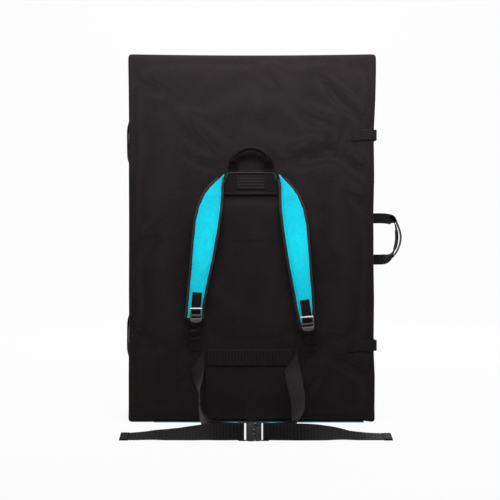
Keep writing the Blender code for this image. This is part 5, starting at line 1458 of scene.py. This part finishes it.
# in mm: across and up
loose_places = ((338.5, 500.5), (345.5, 500), (351.5, 495), (358, 479), (363.5, 464.5), (366.3, 450),
                (365.2, 435.5), (361.3, 422.5), (354.8, 409.5), (345.5, 398), (336, 390.5))
rows = [(x * mm, handle_y, z * mm, 0, 1, 0) for x, z in loose_places]
piece = webbing("carry_handle_loose_layer", rows, web_wide * 0.9, web_thick, black_webbing, "hung", 2 * mm)
sew_on(piece, "carry_handle", "black_webbing", "carry_handle_outer_layer")

# The hip belt is 38 mm webbing. From the lumbar panel's edges its two wings turn down and forward to
# the side-release buckle on the floor, and its two loose ends lie out flat to folded, sewn hems.
buckle_x = 4.4 * mm
buckle_z = 20.3 * mm
belt_y = face_y - 220 * mm
threaded_web = 36.6 * mm
buckle_ends = {"left": 35.6 * mm, "right": 34.3 * mm}
web_away = 2.5 * mm + fit_gap + belt_thick / 2
wing_webbing = webbing_weave("charcoal_nylon_belt_webbing", "#141011", "#262122", 1.8 * mm, 1.4 * mm,
                             0.1, 0.6)
# along X from the panel's edge to the buckle, ahead of the face and up, as shares of the way between
# them, then the width's direction, which is longer where a fold is mitred
wing_shares = {
    "left": (
        (-0.189, 0.001, 1.0, 0.76, 0.0, 1.05), (-0.178, 0.03, 0.83, 0.8, -0.25, 0.45),
        (-0.151, 0.09, 0.65, 0.56, -0.74, 0.37), (-0.112, 0.235, 0.455, 0.08, -0.85, 0.5),
        (-0.074, 0.465, 0.19, 0.0, -0.5, 0.87), (0.155, 0.79, 0.03, 0.0, -0.2, 0.98),
        (0.59, 0.94, 0.0, 0.0, 0.0, 1.0), (0.82, 0.98, 0.0, 0.0, 0.0, 1.0),
        (1.0, 0.984, 0.0, 0.0, 0.0, 1.0),
    ),
    "right": (
        (0.085, 0.022, 0.98, 0.76, 0.0, 1.09), (0.003, 0.086, 0.767, 0.98, -0.1, 0.15),
        (-0.055, 0.234, 0.576, 0.95, -0.25, 0.15), (-0.11, 0.441, 0.396, 0.82, -0.5, 0.3),
        (-0.07, 0.672, 0.18, 0.65, -0.5, 0.57), (0.07, 0.857, 0.05, 0.3, -0.3, 0.9),
        (0.457, 0.949, 0.0, 0.0, 0.0, 1.0), (0.8, 0.982, 0.0, 0.0, 0.0, 1.0),
        (1.0, 0.984, 0.0, 0.0, 0.0, 1.0),
    ),
}
# how far along the loose end, and how far it has leaned back towards lying flat
tail_shares = {
    "left": ((0.0, 0.0), (0.13, 0.14), (0.27, 0.36), (0.52, 0.70), (0.86, 0.95), (1.0, 1.0)),
    "right": ((0.0, 0.0), (0.20, 0.08), (0.41, 0.38), (0.69, 0.87), (0.885, 0.98), (1.0, 1.0)),
}


def cut_square(piece, place, outward):
    """Cuts a finished piece by a plane and closes the cut."""
    shape = bmesh.new()
    shape.from_mesh(piece.data)
    everything = shape.verts[:] + shape.edges[:] + shape.faces[:]
    cut = bmesh.ops.bisect_plane(shape, geom=everything, plane_co=place, plane_no=outward, clear_outer=True)
    rim = [edge for edge in cut["geom_cut"] if isinstance(edge, bmesh.types.BMEdge)]
    bmesh.ops.holes_fill(shape, edges=rim)
    for edge in rim:
        edge.smooth = False
    shape.to_mesh(piece.data)
    shape.free()


# the buckle's end bar, the slot next to it and the grip bar, along X
end_bar = 3.2 * mm
outer_slot = 2.6 * mm
grip_bar = 6 * mm
# the panel's edge, where the loose end ends, and how many degrees it has leaned over there
for label, way, panel_edge, tail_end, lean_end, body in (
    ("left", -1, lumbar_left - 0.5 * mm, -270 * mm, 76, "hip_belt"),
    ("right", 1, lumbar_right + 0.5 * mm, 288 * mm, 78, "belt_plug"),
):
    bar_outer = buckle_ends[label] - end_bar
    bar_inner = bar_outer - outer_slot - grip_bar
    start = on_face(panel_edge, 150 * mm, fit_gap + belt_thick / 2)
    end = Vector((buckle_x + way * (bar_outer + 0.6 * mm), belt_y + web_away, buckle_z))
    rows = []
    for along, ahead, up, *across in wing_shares[label]:
        rows.append((start.x + (end.x - start.x) * along, start.y + (belt_y - start.y) * ahead,
                     end.z + (start.z - end.z) * up, *across))
    rows[-1] = (*end, 0, 0, 1)
    run = smooth_run(rows, 3 * mm)
    gone = gone_along(run[:, :3])

    def wing_curl(a, gone):
        """Slight waves across and along the wing."""
        return 0.5 * mm * noise.noise(Vector((a / (16 * mm), gone / (30 * mm), way * 5)))

    # the right wing is cut in two where it passes from one joint to the next
    bends = [("_belt_lead", ("harness_half", "hip_belt", rows[0][:3], rows[2][:3]), 1)]
    if label == "right":
        bends.append(("_belt_lead_end", ("hip_belt", "belt_plug", rows[2][:3], rows[-1][:3]), -1))
    for name, bend, side in bends:
        section = strap_section(belt_web, belt_thick, curl=wing_curl, columns=12)
        piece = sweep(label + name, run, section, wing_webbing, True)
        long = gone[-1]
        if label == "right":
            cut_square(piece, (0, rows[2][1], 0), (0, -side, 0))
            before = np.interp(-rows[2][1], [-row[1] for row in run], gone)
            long = before if side > 0 else long - before
        sew_on(piece, bend, "grey_webbing", *([label + "_belt_wing"] if side > 0 else []))

    bend = bar_inner - 3 * fit_gap - belt_thick / 2
    threading = ((bar_outer, web_away), (bar_inner + 3 * mm, web_away), (bar_inner, web_away * 0.97),
                 (bend, web_away / 2), (bend, -web_away / 2), (bar_inner, -web_away * 0.97),
                 (bar_inner + 3 * mm, -web_away), (bar_outer + 6.4 * mm, -web_away))
    rows = [(buckle_x + way * x, belt_y + y, buckle_z, 0, 0, 1, 1, 1) for x, y in threading]
    first = rows[-1]
    leans, backs = zip(*tail_shares[label])
    for step in range(1, 21):
        share = step / 20
        lean = math.radians(lean_end) * np.interp(share, leans, backs)
        across = Vector((0, math.sin(lean), math.cos(lean)))
        foot_z = buckle_z - threaded_web / 2
        foot_z += (0.4 * mm + math.sin(lean) * 2.1 * mm - foot_z) * min(1, share * 2)
        ripple = 1.5 * mm * math.sin(share * 11 + way) * math.sin(math.pi * share) * math.sin(lean)
        at = Vector((first[0] + (tail_end - first[0]) * share, first[1], foot_z + max(0, ripple)))
        at += across * threaded_web / 2
        rows.append((*at, *across, 1, 1))
    hem = Vector(rows[-1][:3])
    for reach, thick in ((0.9, 2.4), (4, 2.4), (12, 2.35), (19, 2.3)):
        rows.append((hem.x + way * reach * mm, hem.y, hem.z, *rows[-1][3:6], 1, thick))
    piece = webbing(label + "_belt_loose_end", rows, threaded_web, belt_thick, belt_webbing, "folded",
                    1.5 * mm, relief=woven_ribs(0.2 * mm, belt_rib), columns=5)
    sew_on(piece, body, "black_webbing", label + "_belt_tail")
    across = Vector(rows[-1][3:6])
    out = Vector((0, -math.cos(math.radians(lean_end)), math.sin(math.radians(lean_end))))
    runs = [[hem + Vector((way * reach * mm, 0, 0)) + across * side * 16.5 * mm + out * 2.15 * mm
             for side in (-1, 1)] for reach in (3, 5.5, 16)]
    stitch(label + "_belt_hem_sewing", body, runs, out)

# The buckle is injection-moulded acetal: the socket's hollow body with its side windows, and the plug
# with its two sprung arms and guide tongue. Both are modelled about the buckle's middle.
moulded_acetal = moulding("black_acetal_moulding", "#0A0809", "#1A1617", 0.38, 0)
buckle_half = buckle_z
slot_half = 18.6 * mm
frame_x = 15.3 * mm


def carve(piece, cutter, operation="DIFFERENCE"):
    """Cuts a block out of a piece or joins it on, and drops the block."""
    select_only(piece)
    step = piece.modifiers.new("step", "BOOLEAN")
    step.operation = operation
    step.object = cutter
    step.solver = "EXACT"
    bpy.ops.object.modifier_apply(modifier=step.name)
    bpy.data.objects.remove(cutter)


def simple_block(low, high, corner):
    """A block in object mode, with the edges that run along its depth rounded."""
    block = open_block("block", low, high)
    bpy.ops.mesh.select_mode(type="EDGE")
    shape = bmesh.from_edit_mesh(block.data)
    for edge in shape.edges:
        one, two = (vert.co for vert in edge.verts)
        edge.select_set(abs(one.y - two.y) > 0.1 * mm)
    bmesh.update_edit_mesh(block.data)
    bpy.ops.mesh.bevel(offset=corner, segments=4, affect="EDGES")
    bpy.ops.object.mode_set(mode="OBJECT")
    return block


def even_block(one, two, deep, tall, corner):
    """A block between two places along X, this deep and tall on both sides of the buckle's middle."""
    return simple_block((min(one, two), -deep, -tall), (max(one, two), deep, tall), corner)


def web_frame(way, end):
    """One end's frame, with the webbing's slot and the open slot on each side of the grip bar."""
    frame = even_block(way * (frame_x - 2 * mm), way * end, 2.5 * mm, buckle_half, 4 * mm)
    bar = end - end_bar - outer_slot
    for near, far in ((bar, bar + outer_slot), (frame_x, bar - grip_bar)):
        carve(frame, even_block(way * near, way * far, 6 * mm, slot_half, 1 * mm))
    return frame


def finish_buckle(piece, name, body, node):
    """Rounds the moulding's edges, and puts it in its place."""
    select_only(piece)
    bpy.ops.object.mode_set(mode="EDIT")
    bpy.ops.mesh.select_all(action="SELECT")
    bpy.ops.mesh.remove_doubles(threshold=0.02 * mm)
    close_block(piece, 0.4 * mm, moulded_acetal)
    piece.name = name
    piece.data.name = name
    put(piece, (buckle_x, belt_y, buckle_z))
    sew_on(piece, body, "black_plastic", node)


socket = open_block("socket", (-17 * mm, -4.5 * mm, -19.5 * mm), (-15.3 * mm, 4.5 * mm, 19.5 * mm))
# how far along X in mm, and how deep and high the body is there beside the last
socket_steps = ((2.3, (1, 1.33, 1.03)), (3.0, (1, 1.02, 1.015)), (5.0, (1, 1, 1)), (5.0, (1, 0.99, 0.985)),
                (2.0, (1, 0.97, 0.97)))
for move, scale in socket_steps:
    pick(socket, lambda at, normal: normal.x > 0.9)
    grow((move * mm, 0, 0), scale)
pick(socket, lambda at, normal: normal.x > 0.9)
bpy.ops.mesh.inset(thickness=2 * mm, depth=0)
grow((-14.5 * mm, 0, 0))
pick(socket, lambda at, normal: normal.y < -0.9 and -13 * mm < at.x < -2 * mm)
bpy.ops.mesh.inset(thickness=2.2 * mm, depth=0)
grow((0, -0.5 * mm, 0), (0.95, 1, 0.97), (-7 * mm, 0, 0))
bpy.ops.object.mode_set(mode="OBJECT")
carve(socket, web_frame(-1, buckle_ends["left"]), "UNION")
carve(socket, simple_block((-11 * mm, -3.6 * mm, -30 * mm), (-0.5 * mm, 3.6 * mm, 30 * mm), 1 * mm))
scallop = open_block("scallop", (1.2 * mm, -9 * mm, -7 * mm), (6 * mm, 9 * mm, 7 * mm))
pick(scallop, lambda at, normal: normal.x < -0.9)
grow((-1.2 * mm, 0, 0), (1, 1, 0.78))
grow((-0.8 * mm, 0, 0), (1, 1, 0.6))
bpy.ops.object.mode_set(mode="OBJECT")
carve(socket, scallop)
finish_buckle(socket, "socket_half", "hip_belt", "buckle_socket")

plug = open_block("plug", (frame_x - 1 * mm, -3.5 * mm, -19.5 * mm),
                  (frame_x + 1.5 * mm, 3.5 * mm, 19.5 * mm))
plug_steps = ((-3.0, (1, 1.6, 1.03)), (-5.0, (1, 1.03, 1)), (-3.4, (1, 1, 0.99)), (-0.4, (1, 0.97, 0.97)))
for move, scale in plug_steps:
    pick(plug, lambda at, normal: normal.x < -0.9)
    grow((move * mm, 0, 0), scale)
pick(plug, lambda at, normal: normal.x < -0.9)
bpy.ops.mesh.inset(thickness=2.4 * mm, depth=0)
grow((-1.5 * mm, 0, 0), (1, 0.92, 0.98))
shoulder_x = frame_x - 14.3 * mm
bpy.ops.object.mode_set(mode="OBJECT")
tongue = open_block("tongue", (-9 * mm, -3.2 * mm, -3.5 * mm), (shoulder_x + 3 * mm, 3.2 * mm, 3.5 * mm))
pick(tongue, lambda at, normal: normal.x < -0.9)
grow((-2 * mm, 0, 0), (1, 0.7, 0.6))
bpy.ops.object.mode_set(mode="OBJECT")
carve(plug, tongue, "UNION")
arm = open_block("arm", (-2 * mm, -3.2 * mm, 10 * mm), (shoulder_x + 3 * mm, 3.2 * mm, 14.5 * mm))
pick(arm, lambda at, normal: normal.x < -0.9)
grow((-7.5 * mm, 0, 0.6 * mm))
pick(arm, lambda at, normal: normal.z > 0.9 and at.x < -2 * mm)
grow((0.8 * mm, 0, 3.9 * mm), (0.9, 0.95, 1), (-6 * mm, 0, 0))
pick(arm, lambda at, normal: normal.x < -0.9 and at.z < 15 * mm)
grow((-3 * mm, 0, -0.6 * mm), (1, 0.8, 0.6), (0, 0, 12 * mm))
bpy.ops.object.mode_set(mode="OBJECT")
other_arm = copied(arm, "other_arm")
select_only(other_arm)
bpy.ops.object.mode_set(mode="EDIT")
bpy.ops.mesh.select_all(action="SELECT")
bpy.ops.transform.rotate(value=math.pi, orient_axis="X", center_override=(0, 0, 0))
bpy.ops.object.mode_set(mode="OBJECT")
carve(plug, arm, "UNION")
carve(plug, other_arm, "UNION")
carve(plug, web_frame(1, buckle_ends["right"]), "UNION")
# the slit that lets the upper arm bend shows beside the mouth
slit = open_block("slit", (3.0 * mm, -9 * mm, 13.0 * mm), (4.8 * mm, 9 * mm, 14.8 * mm))
pick(slit, lambda at, normal: normal.x > 0.9)
grow((3.4 * mm, 0, -1.2 * mm))
grow((4.0 * mm, 0, 2.8 * mm), (1, 1, 0.8), (0, 0, 16 * mm))
bpy.ops.object.mode_set(mode="OBJECT")
carve(plug, slit)
finish_buckle(plug, "plug_half", "belt_plug", "buckle_plug")
